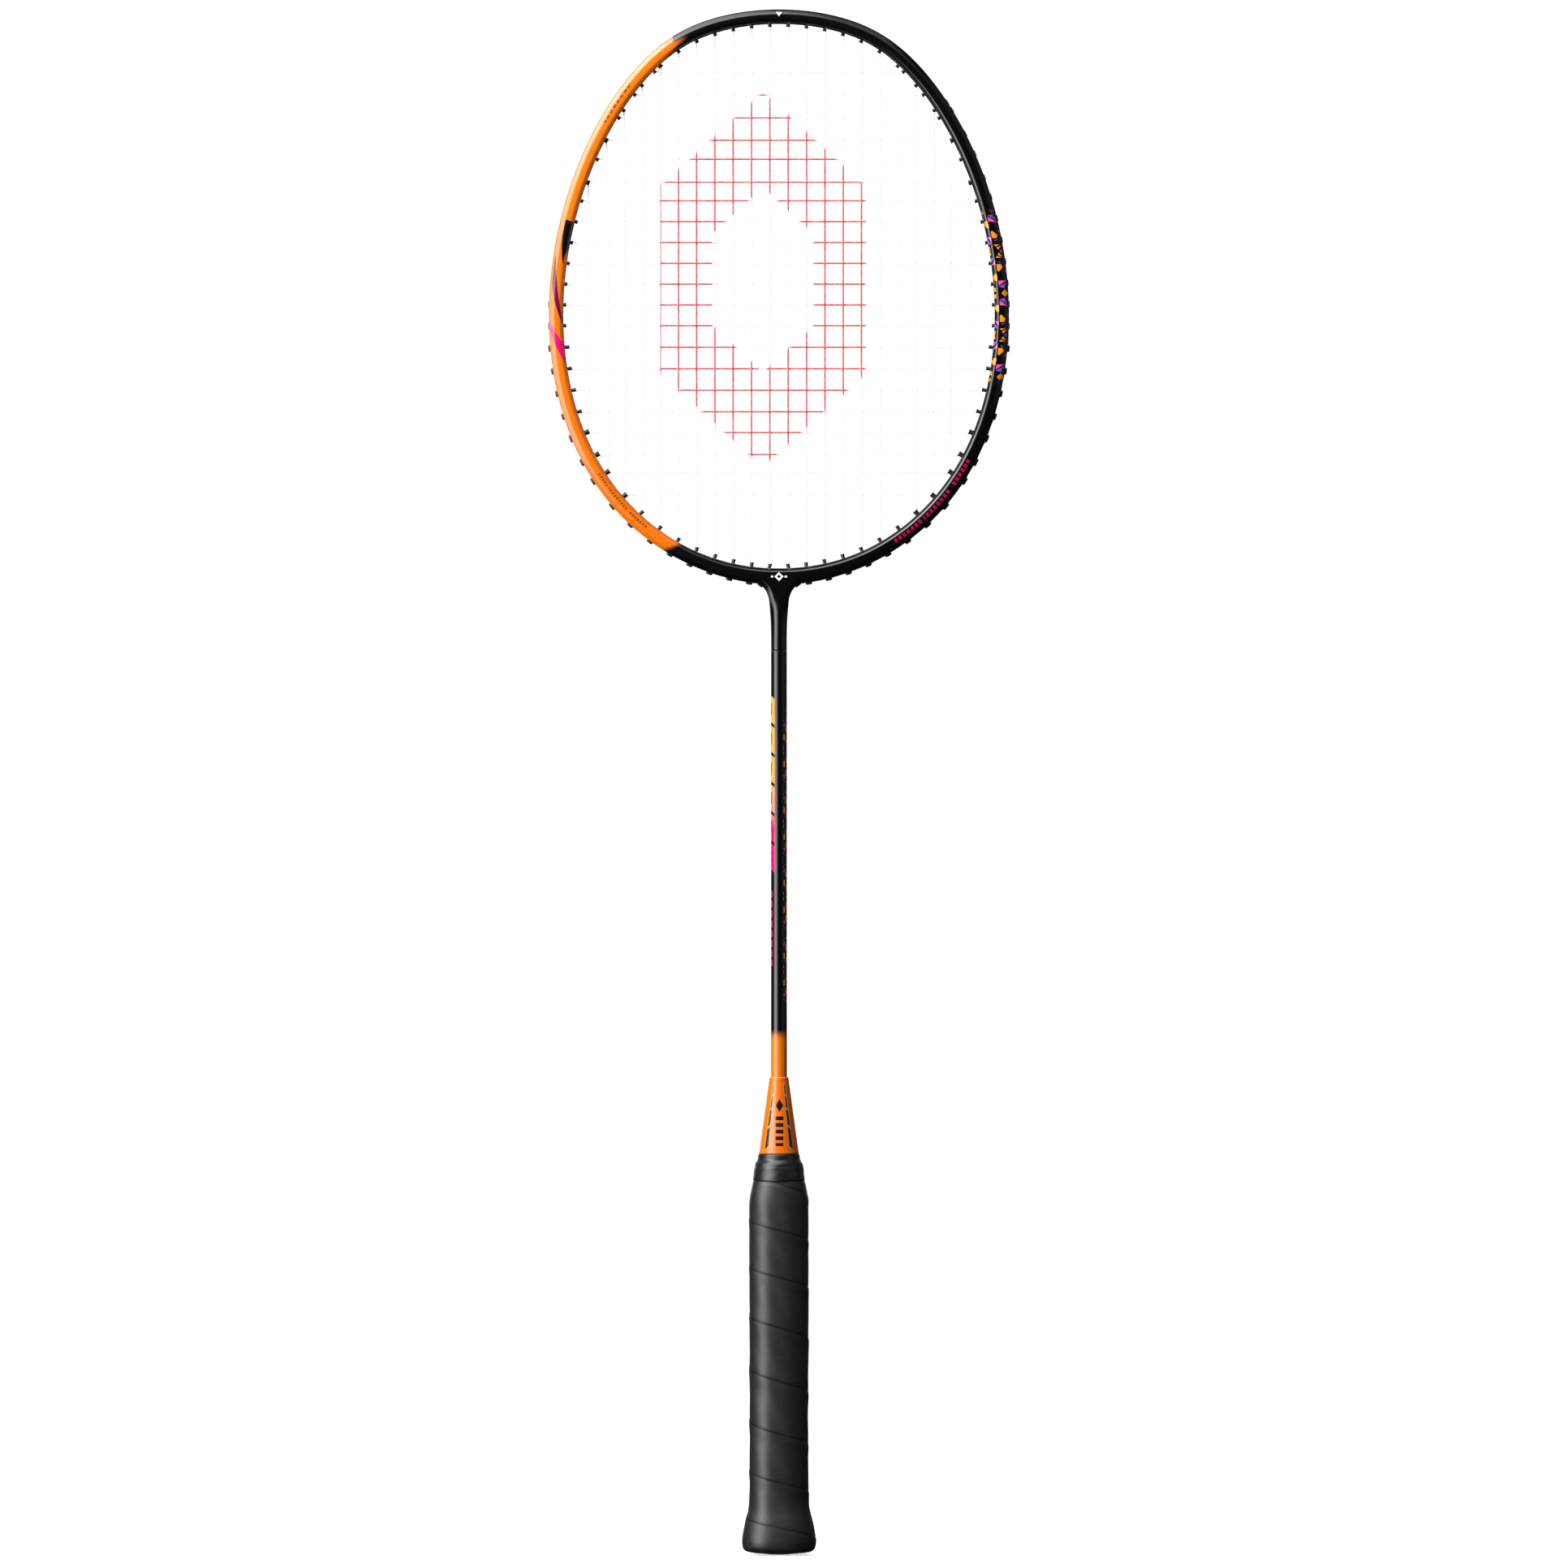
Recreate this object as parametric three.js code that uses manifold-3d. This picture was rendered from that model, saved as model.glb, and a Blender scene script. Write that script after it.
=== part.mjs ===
// A badminton racket, strung, in millimetres.
// Z runs up the shaft from the butt's end face to the top of the head, X across the face of the
// head, and -Y is the front. The origin is the centre of the butt's end face.
import * as THREE from "three";
import { mergeVertices } from "three/addons/utils/BufferGeometryUtils.js";
import Module from "manifold-3d";

const wasm = await Module();
wasm.setup();

// ---- Driving dimensions ----

// The head's outer edge is given by the distance h(a) from HEAD_Z to the tangent that faces the
// angle a from the top: HEAD_R plus HEAD_WAVES[n] cos(n a). A parallel curve is the same with a
// smaller HEAD_R.
const HEAD_Z = 548.9;
const HEAD_R = 114.36;
const HEAD_WAVES = { 2: 12.68, 3: 1.31, 4: -1.26, 5: -0.79, 6: -0.13, 7: -0.07 };

// The hoop is a hollow carbon tube of this section. Its outer face holds the string groove over
// the upper half.
const HOOP_WIDTH = 6.4;
const THROAT_SWELL = 0.8; // extra width at the throat
const SWELL_FROM = 148; // degrees from the top
const HOOP_DEPTH = 10.5;
const HOOP_WALL = 1.1;
const GROOVE_DEPTH = 1.7;
const GROOVE_FLOOR = 1.75; // half width
const GROOVE_RIM = 2.5; // half width
const GROOVE_END = 92.4; // degrees from the top
const GROOVE_FADE = 1.4; // degrees
const HOOP_STEP = 6; // degrees

// The neck blends the hoop into the shaft.
const NECK_BOTTOM = 395;
const NECK_PROFILE = [
  // height, half width
  [395, 3.52],
  [402.5, 3.6],
  [408, 3.75],
  [413.3, 4.15],
  [417.6, 4.7],
  [420, 5.3],
  [422.2, 6.6],
  [423.7, 8.8],
  [426, 13],
];

const SHAFT_R = 3.5;
const SHAFT_BORE = 2.35;
const SHAFT_IN_HANDLE = 75;
const STEM_R = 2.0;
const STEM_LENGTH = 55; // below the neck
const ARM_REACH = 13.5; // degrees to each side of the hoop's bottom
const CLEAR = 0.3;

// Handle, from the butt up. The grip's section is an octagon, shallower than it is wide.
const HANDLE_TOP = 163.4;
const GRIP_DEPTH_RATIO = 0.92;
const GRIP_WALL = 1.3;
const GRIP_PROFILE = [
  // height, half width
  [0.3, 13.6],
  [1.2, 15.2],
  [3.4, 16.25],
  [8.6, 16.25],
  [12, 15.75],
  [18, 14.4],
  [24.5, 13.1],
  [154, 13.05],
  [163.1, 11.3],
];
const BADGE_THICKNESS = 0.8;

const CONE_TOP = 208.6;
const CONE_BOTTOM = 174.9;
const CONE_TOP_R = 4.35;
const CONE_BOTTOM_R = 8.9;
const TAPE_TOP_R = 9.15;
const TAPE_STEP_Z = 171;
const TAPE_STEP_R = 10.35;
const TAPE_BOTTOM_R = 10.95;
const TAPE_BOTTOM = 163.5;

// Strings. The mains lie behind the crosses, each in its own plane.
const MAINS_PER_SIDE = 11;
const MAIN_FIRST_X = 4;
const MAIN_PITCH = 8.03;
const CROSSES = 21;
const CROSS_TOP_Z = 648.2;
const CROSS_TOP_PITCH = 10.15; // the first two gaps
const CROSS_MID_PITCH = 9.1;
const CROSS_LOW_PITCH = 9.4; // below cross 12
const STRING_R = 0.33;
const STRING_PLANE = 0.45;
const KNOT_R = 0.85;
// Main ends that share their hole with a cross, on each side.
const SHARED = { top10: 4, top11: 6, low9: 21, low10: 20, low11: 18 };

// Grommets: a barrel through the hoop, with a head outside. Upper ones share a strip that lies
// in the groove.
const AIM_INSET = { upper: 6.3, lower: 7 }; // where a string's line meets its hole's axis
const LIP_REACH = { upper: 1.1, lower: 1.9 }; // how far the barrels stand inside the hoop
const BEND_REACH = 0.5; // from a barrel's end to where its string turns
const AXIS_INSET = 8; // where a leaning hole's axis passes its string's place on the hoop
const NARROW = { bore: 0.62, outer: 0.95, hole: 1.25, head: 1.6 }; // one string
const WIDE = { bore: 0.97, outer: 1.3, hole: 1.6, head: 1.75 }; // two strings
const HEAD_LIFT = 0.2;
const HEAD_TOP = 0.65;
const LOOP_LIFT = 1.05; // string centre above the hoop's outer edge, over single grommets
const STRIP_LOW = -1.4;
const STRIP_HIGH = -0.95;
const STRIP_HALF = 1.4;
const STRIP_END = 0.8; // degrees past the last barrel
const LOOP_SUNK = -0.38; // string centre in the groove
const TOP_STRIP_END = 45; // degrees
const LOOP_STEP = 4; // degrees
const THROAT_EXIT_SHIFT = 2.4; // degrees that the middle holes lean away from the neck

// ---- Geometry helpers ----

const RAD = Math.PI / 180;
const range = (count) => Array.from({ length: count }, (_, i) => i);

// A closed surface through rings of points that all have the same count. It is capped at both
// ends, or joined end to end when closed.
function skin(rings, closed = false) {
  const count = rings[0].length;
  const position = rings.flat(2);
  const index = [];
  const spans = closed ? rings.length : rings.length - 1;
  for (let k = 0; k < spans; k++) {
    const low = k * count;
    const high = ((k + 1) % rings.length) * count;
    for (let i = 0; i < count; i++) {
      const j = (i + 1) % count;
      index.push(low + i, low + j, high + j, low + i, high + j, high + i);
    }
  }
  if (!closed) {
    const last = (rings.length - 1) * count;
    for (let i = 1; i < count - 1; i++) {
      index.push(0, i + 1, i);
      index.push(last, last + i, last + i + 1);
    }
  }
  return new THREE.BufferGeometry()
    .setAttribute("position", new THREE.Float32BufferAttribute(position, 3))
    .setIndex(index);
}

function toSolid(geometry) {
  const bare = geometry.clone();
  bare.deleteAttribute("normal");
  bare.deleteAttribute("uv");
  const merged = mergeVertices(bare, 1e-4);
  const solid = new wasm.Manifold(
    new wasm.Mesh({
      numProp: 3,
      vertProperties: merged.attributes.position.array,
      triVerts: new Uint32Array(merged.index.array),
    }),
  );
  if (solid.volume() >= 0) return solid;
  return toSolid(flipped(merged));
}

function flipped(geometry) {
  const index = Array.from(geometry.index.array);
  for (let i = 0; i < index.length; i += 3) [index[i], index[i + 1]] = [index[i + 1], index[i]];
  return geometry.clone().setIndex(index);
}

function toGeometry(solid) {
  const mesh = solid.getMesh();
  const geometry = new THREE.BufferGeometry()
    .setAttribute("position", new THREE.BufferAttribute(mesh.vertProperties, 3))
    .setIndex(new THREE.BufferAttribute(mesh.triVerts, 1));
  geometry.computeVertexNormals();
  return geometry;
}

// A solid turned about Z from [radius, height] points that close on themselves.
function turned(profile, sides) {
  const points = [...profile, profile[0]].map(([r, z]) => new THREE.Vector2(r, z));
  return toSolid(new THREE.LatheGeometry(points, sides).rotateX(Math.PI / 2));
}

function rod(radius, low, high, sides) {
  return turned([[0, low], [radius, low], [radius, high], [0, high]], sides);
}

// ---- The head's outline ----

// The point at an angle from the top, in degrees, towards +X, lifted above the outer edge.
function hoopPoint(degrees, lift = 0) {
  const a = degrees * RAD;
  let h = HEAD_R + lift;
  let slope = 0;
  for (const [n, size] of Object.entries(HEAD_WAVES)) {
    h += size * Math.cos(n * a);
    slope -= n * size * Math.sin(n * a);
  }
  return [
    h * Math.sin(a) + slope * Math.cos(a),
    HEAD_Z + h * Math.cos(a) - slope * Math.sin(a),
  ];
}

// The angle between low and high where value(angle), which is monotonic there, is wanted.
function solveAngle(value, wanted, low, high) {
  const rising = value(high) > value(low);
  for (let i = 0; i < 50; i++) {
    const mid = (low + high) / 2;
    if (value(mid) < wanted === rising) low = mid;
    else high = mid;
  }
  return (low + high) / 2;
}

const hoopWidth = (degrees) =>
  HOOP_WIDTH + THROAT_SWELL * THREE.MathUtils.smoothstep(Math.abs(degrees), SWELL_FROM, 180);

const grooveAt = (degrees) => {
  const past = (Math.abs(degrees) - GROOVE_END) / GROOVE_FADE;
  return GROOVE_DEPTH * THREE.MathUtils.clamp(1 - past, 0, 1);
};

// ---- String positions and holes ----

const mainX = (i) => MAIN_FIRST_X + MAIN_PITCH * (i - 1); // i from 1
const crossZ = (k) =>
  CROSS_TOP_Z -
  CROSS_TOP_PITCH * Math.min(k - 1, 2) -
  CROSS_MID_PITCH * THREE.MathUtils.clamp(k - 3, 0, 10) -
  CROSS_LOW_PITCH * Math.max(k - 13, 0); // k from 1

// Every hole of the right half, from the top. A hole names its main end ("top" or "low" with the
// main's number) and its cross, and both where they share it.
function rightHoles() {
  const widest = 90;
  const upper = (a) => hoopPoint(a, -AIM_INSET.upper);
  const lower = (a) => hoopPoint(a, -AIM_INSET.lower);
  const holes = [];
  for (let i = 1; i <= MAINS_PER_SIDE; i++) {
    const top = solveAngle((a) => upper(a)[0], mainX(i), 0, widest);
    const low = solveAngle((a) => lower(a)[0], mainX(i), widest, 180);
    holes.push({ angle: top, main: "top" + i }, { angle: low, main: "low" + i });
  }
  for (let k = 1; k <= CROSSES; k++) {
    const aim = crossZ(k) > HEAD_Z ? upper : lower;
    const angle = solveAngle((a) => aim(a)[1], crossZ(k), 0, 180);
    const near = holes.find((hole) => SHARED[hole.main] === k);
    if (near) {
      near.cross = k;
      near.angle = (near.angle + angle) / 2;
    } else holes.push({ angle, cross: k });
  }
  return holes.sort((a, b) => a.angle - b.angle);
}

// Where the strings' ends are tied off: the neighbour's hole that the end comes back through.
const MAIN_TIE_CROSS = 19; // both ends of the main string
const CROSS_START_TIE = "top7"; // left side
const CROSS_END_TIE = "low8"; // right side

const holes = rightHoles()
  .flatMap((hole) => [
    { ...hole, side: "right", sign: 1 },
    { ...hole, side: "left", sign: -1 },
  ])
  .map((hole) => {
    const tied =
      hole.cross === MAIN_TIE_CROSS ||
      (hole.side === "left" && hole.main === CROSS_START_TIE) ||
      (hole.side === "right" && hole.main === CROSS_END_TIE);
    const shared = tied || (hole.main && hole.cross);
    const inNeck = hole.main === "low1"; // it leans out past the neck
    const exitAngle = hole.angle - (inNeck ? THROAT_EXIT_SHIFT : 0);
    const y = shared ? 0 : hole.main ? STRING_PLANE : -STRING_PLANE;
    const size = shared ? WIDE : NARROW;
    const onStrip = hole.angle < GROOVE_END;
    const lip = hoopWidth(hole.angle) + (onStrip ? LIP_REACH.upper : LIP_REACH.lower);
    return { ...hole, inNeck, exitAngle, y, size, onStrip, lip, bend: lip + BEND_REACH };
  });

// A point on a hole's axis at a lift above the hoop's outer edge, as x, y, z.
function axisPoint(hole, lift, y = hole.y) {
  const foot = hoopPoint(hole.exitAngle, 0);
  const inner = hoopPoint(hole.angle, -AXIS_INSET);
  const t = -lift / AXIS_INSET;
  const x = foot[0] + (inner[0] - foot[0]) * t;
  const z = foot[1] + (inner[1] - foot[1]) * t;
  return new THREE.Vector3(hole.sign * x, y, z);
}

// A solid turned about a hole's axis from [radius, lift] points that close on themselves.
function alongHole(hole, profile, sides = 6) {
  const outer = axisPoint(hole, 0);
  const inward = axisPoint(hole, -1).sub(outer);
  const stretch = inward.length();
  inward.normalize();
  const depth = new THREE.Vector3(0, 1, 0);
  const across = new THREE.Vector3().crossVectors(depth, inward);
  const points = [...profile, profile[0]].map(
    ([r, lift]) => new THREE.Vector2(r, -lift * stretch),
  );
  const basis = new THREE.Matrix4().makeBasis(depth, inward, across).setPosition(outer);
  return toSolid(new THREE.LatheGeometry(points, sides).applyMatrix4(basis));
}

// The cut for a hole, with a seat for the head where the neck's fillet rises past the hoop.
function drill(hole) {
  const radius = hole.size.hole;
  const seat = hole.inNeck ? hole.size.head + CLEAR : radius;
  return alongHole(hole, [
    [0, 6],
    [seat, 6],
    [seat, -0.1],
    [radius, -0.1],
    [radius, -11],
    [0, -11],
  ]);
}

// ---- Frame ----

// Points round the hoop's section at an angle, as [lift, y]: the outer skin, and the cavity.
function outerSection(degrees) {
  const floor = -grooveAt(degrees);
  const inner = -hoopWidth(degrees);
  const half = HOOP_DEPTH / 2;
  const edge = [
    [floor, GROOVE_FLOOR],
    [0, GROOVE_RIM],
    [-0.8, half - 0.95],
    [-2.2, half],
    [inner + 2.2, half],
    [inner + 0.8, half - 0.95],
    [inner, 2.2],
  ];
  return [...edge, ...edge.map(([lift, y]) => [lift, -y]).reverse()];
}

function cavitySection(degrees) {
  const top = -HOOP_WALL - grooveAt(degrees);
  const bottom = -hoopWidth(degrees) + HOOP_WALL;
  const half = HOOP_DEPTH / 2 - HOOP_WALL;
  const edge = [
    [top, GROOVE_RIM],
    [Math.min(top, -2), half],
    [bottom, half - 0.9],
  ];
  return [...edge, ...edge.map(([lift, y]) => [lift, -y]).reverse()];
}

function sweepHoop(section, angles, closed) {
  const rings = angles.map((degrees) =>
    section(degrees).map(([lift, y]) => {
      const [x, z] = hoopPoint(degrees, lift);
      return [x, y, z];
    }),
  );
  return toSolid(skin(rings, closed));
}

const hoopAngles = [
  ...range(360 / HOOP_STEP).map((i) => i * HOOP_STEP - 180),
  ...[GROOVE_END, GROOVE_END + GROOVE_FADE].flatMap((a) => [a, -a]),
].sort((a, b) => a - b);

// The neck's rings are 12-sided ovals that turn from the shaft's circle into the hoop's depth.
function neckSolid() {
  const top = NECK_PROFILE.at(-1)[0];
  const rings = NECK_PROFILE.map(([z, half]) => {
    const t = (z - NECK_BOTTOM) / (top - NECK_BOTTOM);
    const deep = THREE.MathUtils.lerp(NECK_PROFILE[0][1], HOOP_DEPTH / 2 - 0.2, t);
    return range(12).map((i) => {
      const a = (i + 0.5) * 30 * RAD;
      return [(half * Math.cos(a)) / Math.cos(15 * RAD), deep * Math.sin(a), z];
    });
  });
  return toSolid(skin(rings));
}

function frameSolid() {
  const hoop = sweepHoop(outerSection, hoopAngles, true);
  const cavity = sweepHoop(cavitySection, hoopAngles, true);
  const stemBore = rod(SHAFT_BORE, NECK_BOTTOM - 1, hoopPoint(180, -3)[1], 12);
  const drills = holes.map(drill);
  const cuts = wasm.Manifold.union([cavity, stemBore, ...drills]);
  return hoop.add(neckSolid()).subtract(cuts);
}

// The T-joint: two arms in the hoop's cavity and a stem down the neck into the shaft.
function tJointSolid() {
  const section = (degrees) => {
    const low = -hoopWidth(degrees) + HOOP_WALL + 2 * CLEAR;
    const high = -HOOP_WALL - 2 * CLEAR;
    const half = GROOVE_RIM;
    return [[high, half], [low, 1.7], [low, -1.7], [high, -half]];
  };
  const arms = sweepHoop(section, range(7).map((i) => 180 + ARM_REACH * (i / 3 - 1)), false);
  const stem = rod(STEM_R, NECK_BOTTOM - STEM_LENGTH, hoopPoint(180, -3)[1], 12);
  const drills = holes.filter((hole) => hole.angle > 160).map(drill);
  return arms.add(stem).subtract(wasm.Manifold.union(drills));
}

// ---- Grommets ----

// A plain rod about a hole's axis.
const rodAlong = (hole, radius, high, low) =>
  alongHole(hole, [[0, high], [radius, high], [radius, low], [0, low]]);

function grommetSolid(hole) {
  const { bore, outer, head } = hole.size;
  return alongHole(hole, [
    [bore, HEAD_TOP],
    [head, HEAD_TOP],
    [head, HEAD_LIFT],
    [outer, HEAD_LIFT],
    [outer, -hole.lip],
    [bore, -hole.lip],
  ]);
}

function stripSolid(members) {
  const angles = members.map((hole) => hole.sign * hole.angle).sort((a, b) => a - b);
  const start = angles[0] - STRIP_END;
  const end = angles.at(-1) + STRIP_END;
  const stations = [start, ...hoopAngles.filter((a) => a > start + 1 && a < end - 1), end];
  const section = () => [
    [STRIP_HIGH, STRIP_HALF],
    [STRIP_LOW, STRIP_HALF],
    [STRIP_LOW, -STRIP_HALF],
    [STRIP_HIGH, -STRIP_HALF],
  ];
  const band = sweepHoop(section, stations, false);
  const barrels = members.map((hole) => rodAlong(hole, hole.size.outer, STRIP_LOW + 0.1, -hole.lip));
  const bores = members.map((hole) => rodAlong(hole, hole.size.bore, 1, -hole.lip - 1));
  return band.add(wasm.Manifold.union(barrels)).subtract(wasm.Manifold.union(bores));
}

// ---- Strings ----

// A tube along points of one nearly flat run in X and Z, mitred where it turns.
function stringTube(points) {
  const sides = 6;
  const rings = points.map((point, i) => {
    const before = points[Math.max(i - 1, 0)];
    const after = points[Math.min(i + 1, points.length - 1)];
    const way = (a, b) => new THREE.Vector2(b.x - a.x, b.z - a.z).normalize();
    const into = i ? way(before, point) : way(point, after);
    const out = i < points.length - 1 ? way(point, after) : into;
    const along = into.clone().add(out).normalize();
    const half = Math.max(along.dot(out), 0.5); // cosine of half the turn
    return range(sides).map((s) => {
      const a = (s * 2 * Math.PI) / sides;
      const across = (STRING_R * Math.cos(a)) / half;
      return [
        point.x + across * along.y,
        point.y + STRING_R * Math.sin(a),
        point.z - across * along.x,
      ];
    });
  });
  return toSolid(skin(rings));
}

const findHole = (side, key, value) =>
  holes.find((hole) => hole.side === side && hole[key] === value);

// The points of an outside loop between two holes, following the hoop.
function loopPoints(from, to, y) {
  const start = from.sign * from.exitAngle;
  let sweep = to.sign * to.exitAngle - start;
  if (sweep > 180) sweep -= 360;
  if (sweep < -180) sweep += 360;
  const liftOf = (hole) => (hole.onStrip ? LOOP_SUNK : LOOP_LIFT);
  const ends = [from, to].map((hole) => axisPoint(hole, liftOf(hole), y));
  // A loop that leaves the groove stays up beside the single grommet's head.
  const rises = from.onStrip !== to.onStrip;
  const steps = rises ? 3 : Math.ceil(Math.abs(sweep) / LOOP_STEP);
  const middle = range(steps - 1).map((i) => {
    const t = (i + 1) / steps;
    const blend = rises ? THREE.MathUtils.clamp(1.5 * t - (to.onStrip ? 0.5 : 0), 0, 1) : t;
    const lift = THREE.MathUtils.lerp(liftOf(from), liftOf(to), blend);
    const [x, z] = hoopPoint(start + sweep * t, lift);
    return new THREE.Vector3(x, y, z);
  });
  return [ends[0], ...middle, ends[1]];
}

// A string that runs through pairs of holes, joined by outside loops, and is tied off through
// one more hole at each end.
function stringSolid(runs, y, startTie, endTie) {
  const inside = (hole) => axisPoint(hole, -hole.bend, y);
  const knotAt = (hole) => axisPoint(hole, -hole.lip - 2 * KNOT_R, y);
  const points = [
    knotAt(startTie),
    ...loopPoints(startTie, runs[0][0], y),
  ];
  runs.forEach(([from, to], i) => {
    const next = i < runs.length - 1 ? runs[i + 1][0] : endTie;
    points.push(inside(from), inside(to), ...loopPoints(to, next, y));
  });
  points.push(knotAt(endTie));
  const knots = [points[0], points.at(-1)].map((point) =>
    toSolid(
      new THREE.IcosahedronGeometry(KNOT_R, 1).translate(
        point.x,
        Math.sign(y) * (KNOT_R + 0.15),
        point.z,
      ),
    ),
  );
  return stringTube(points).add(wasm.Manifold.union(knots));
}

// The main string goes up the outermost right main and then to and fro, to the outermost left.
function mainStringSolid() {
  const order = [
    ...range(MAINS_PER_SIDE).map((i) => ["right", MAINS_PER_SIDE - i]),
    ...range(MAINS_PER_SIDE).map((i) => ["left", i + 1]),
  ];
  const runs = order.map(([side, i], turn) => {
    const low = findHole(side, "main", "low" + i);
    const top = findHole(side, "main", "top" + i);
    return turn % 2 ? [top, low] : [low, top];
  });
  const tie = (side) => findHole(side, "cross", MAIN_TIE_CROSS);
  return stringSolid(runs, STRING_PLANE, tie("right"), tie("left"));
}

// The cross string starts at the top left and works down.
function crossStringSolid() {
  const runs = range(CROSSES).map((n) => {
    const left = findHole("left", "cross", n + 1);
    const right = findHole("right", "cross", n + 1);
    return n % 2 ? [right, left] : [left, right];
  });
  const start = findHole("left", "main", CROSS_START_TIE);
  return stringSolid(runs, -STRING_PLANE, start, findHole("right", "main", CROSS_END_TIE));
}

// ---- Handle and shaft ----

// An octagonal ring round the handle, set in by inset.
function gripRing(z, half, inset = 0) {
  const x = half - inset;
  const y = half * GRIP_DEPTH_RATIO - inset;
  const corner = 0.45;
  const quarter = [[x, y * corner], [x * corner, y]];
  const upper = [...quarter, ...quarter.map(([a, b]) => [-a, b]).reverse()];
  return [...upper, ...upper.map(([a, b]) => [-a, -b])].map(([a, b]) => [a, b, z]);
}

function gripSolid() {
  const outer = GRIP_PROFILE.map(([z, half]) => gripRing(z, half));
  const inner = GRIP_PROFILE.slice(1).map(([z, half]) => gripRing(z, half, GRIP_WALL));
  inner.unshift(gripRing(GRIP_PROFILE[0][0], GRIP_PROFILE[1][1], GRIP_WALL));
  return toSolid(skin([...outer, ...inner.reverse()], true));
}

function handleCoreSolid() {
  const inset = GRIP_WALL + CLEAR;
  const bottom = BADGE_THICKNESS + CLEAR;
  const body = GRIP_PROFILE.slice(1);
  const rings = body.map(([z, half]) => gripRing(z, half, inset));
  rings[0] = gripRing(bottom, body[0][1], inset);
  rings[rings.length - 1] = gripRing(HANDLE_TOP, body.at(-1)[1], inset);
  const bore = rod(SHAFT_R + CLEAR, HANDLE_TOP - SHAFT_IN_HANDLE - CLEAR, HANDLE_TOP + 1, 16);
  return toSolid(skin(rings)).subtract(bore);
}

const badgeSolid = () => {
  const half = GRIP_PROFILE[1][1];
  const inset = GRIP_WALL + CLEAR;
  return toSolid(skin([gripRing(0, half, inset), gripRing(BADGE_THICKNESS, half, inset)]));
};

const shaftSolid = () =>
  turned(
    [
      [SHAFT_BORE, HANDLE_TOP - SHAFT_IN_HANDLE],
      [SHAFT_R, HANDLE_TOP - SHAFT_IN_HANDLE],
      [SHAFT_R, NECK_BOTTOM - CLEAR],
      [SHAFT_BORE, NECK_BOTTOM - CLEAR],
    ],
    16,
  );

const SKIRT_R = CONE_BOTTOM_R - 0.9;
const coneSolid = () =>
  turned(
    [
      [SHAFT_R + CLEAR, HANDLE_TOP + CLEAR],
      [SKIRT_R, HANDLE_TOP + CLEAR],
      [SKIRT_R, CONE_BOTTOM],
      [CONE_BOTTOM_R, CONE_BOTTOM + CLEAR],
      [CONE_TOP_R, CONE_TOP],
      [SHAFT_R + CLEAR, CONE_TOP],
    ],
    24,
  );

const tapeSolid = () =>
  turned(
    [
      [SKIRT_R + CLEAR, TAPE_BOTTOM],
      [TAPE_BOTTOM_R, TAPE_BOTTOM],
      [TAPE_STEP_R + 0.2, TAPE_STEP_Z - 0.4],
      [TAPE_STEP_R - 0.2, TAPE_STEP_Z],
      [TAPE_TOP_R, CONE_BOTTOM - CLEAR],
      [SKIRT_R + CLEAR, CONE_BOTTOM - CLEAR],
    ],
    24,
  );

// ---- Assembly ----

const finish = (color, roughness, metalness = 0) =>
  new THREE.MeshStandardMaterial({ color, roughness, metalness });
const LACQUER = finish(0x0c0c0e, 0.18);
const SHAFT_PAINT = finish(0x101012, 0.2);
const ORANGE = finish(0xff7a08, 0.28);
const GRIP = finish(0x262626, 0.75);
const TAPE = finish(0x14171a, 0.35);
const WOOD = finish(0xc9a26b, 0.7);
const BADGE = finish(0x1c1c1e, 0.4);
const COMPOSITE = finish(0x2a2a2c, 0.5);
const NYLON = finish(0x0b0b0c, 0.45);
const STRING = finish(0xf1eee4, 0.35);

const racket = new THREE.Group();
function part(name, solid, material) {
  const mesh = new THREE.Mesh(toGeometry(solid), material);
  mesh.name = name;
  racket.add(mesh);
}

part("frame", frameSolid(), LACQUER);
part("t_joint", tJointSolid(), COMPOSITE);
part("shaft", shaftSolid(), SHAFT_PAINT);
part("cone_cap", coneSolid(), ORANGE);
part("handle_core", handleCoreSolid(), WOOD);
part("end_badge", badgeSolid(), BADGE);
part("grip_wrap", gripSolid(), GRIP);
part("finishing_tape", tapeSolid(), TAPE);
part("main_string", mainStringSolid(), STRING);
part("cross_string", crossStringSolid(), STRING);

const onStrip = holes.filter((hole) => hole.onStrip);
const besideTop = (side) => (hole) => hole.side === side && hole.angle > TOP_STRIP_END;
part("top_strip", stripSolid(onStrip.filter((hole) => hole.angle <= TOP_STRIP_END)), NYLON);
for (const side of ["left", "right"]) {
  part("strip_" + side, stripSolid(onStrip.filter(besideTop(side))), NYLON);
  holes
    .filter((hole) => hole.side === side && !hole.onStrip)
    .forEach((hole, i) => {
      part("grommet_" + side + "_" + String(i + 1).padStart(2, "0"), grommetSolid(hole), NYLON);
    });
}

export default racket;
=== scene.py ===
"""The looks of a strung badminton racket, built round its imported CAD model.

Lengths are millimetres until a mesh is made, and metres after that. Z runs up the shaft from the
butt's end face, X across the face of the head, and -Y is the front. The head's outline, the holes
and the string lines repeat the CAD model's formulas, because this script reads only the frame.
"""

import math

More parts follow.
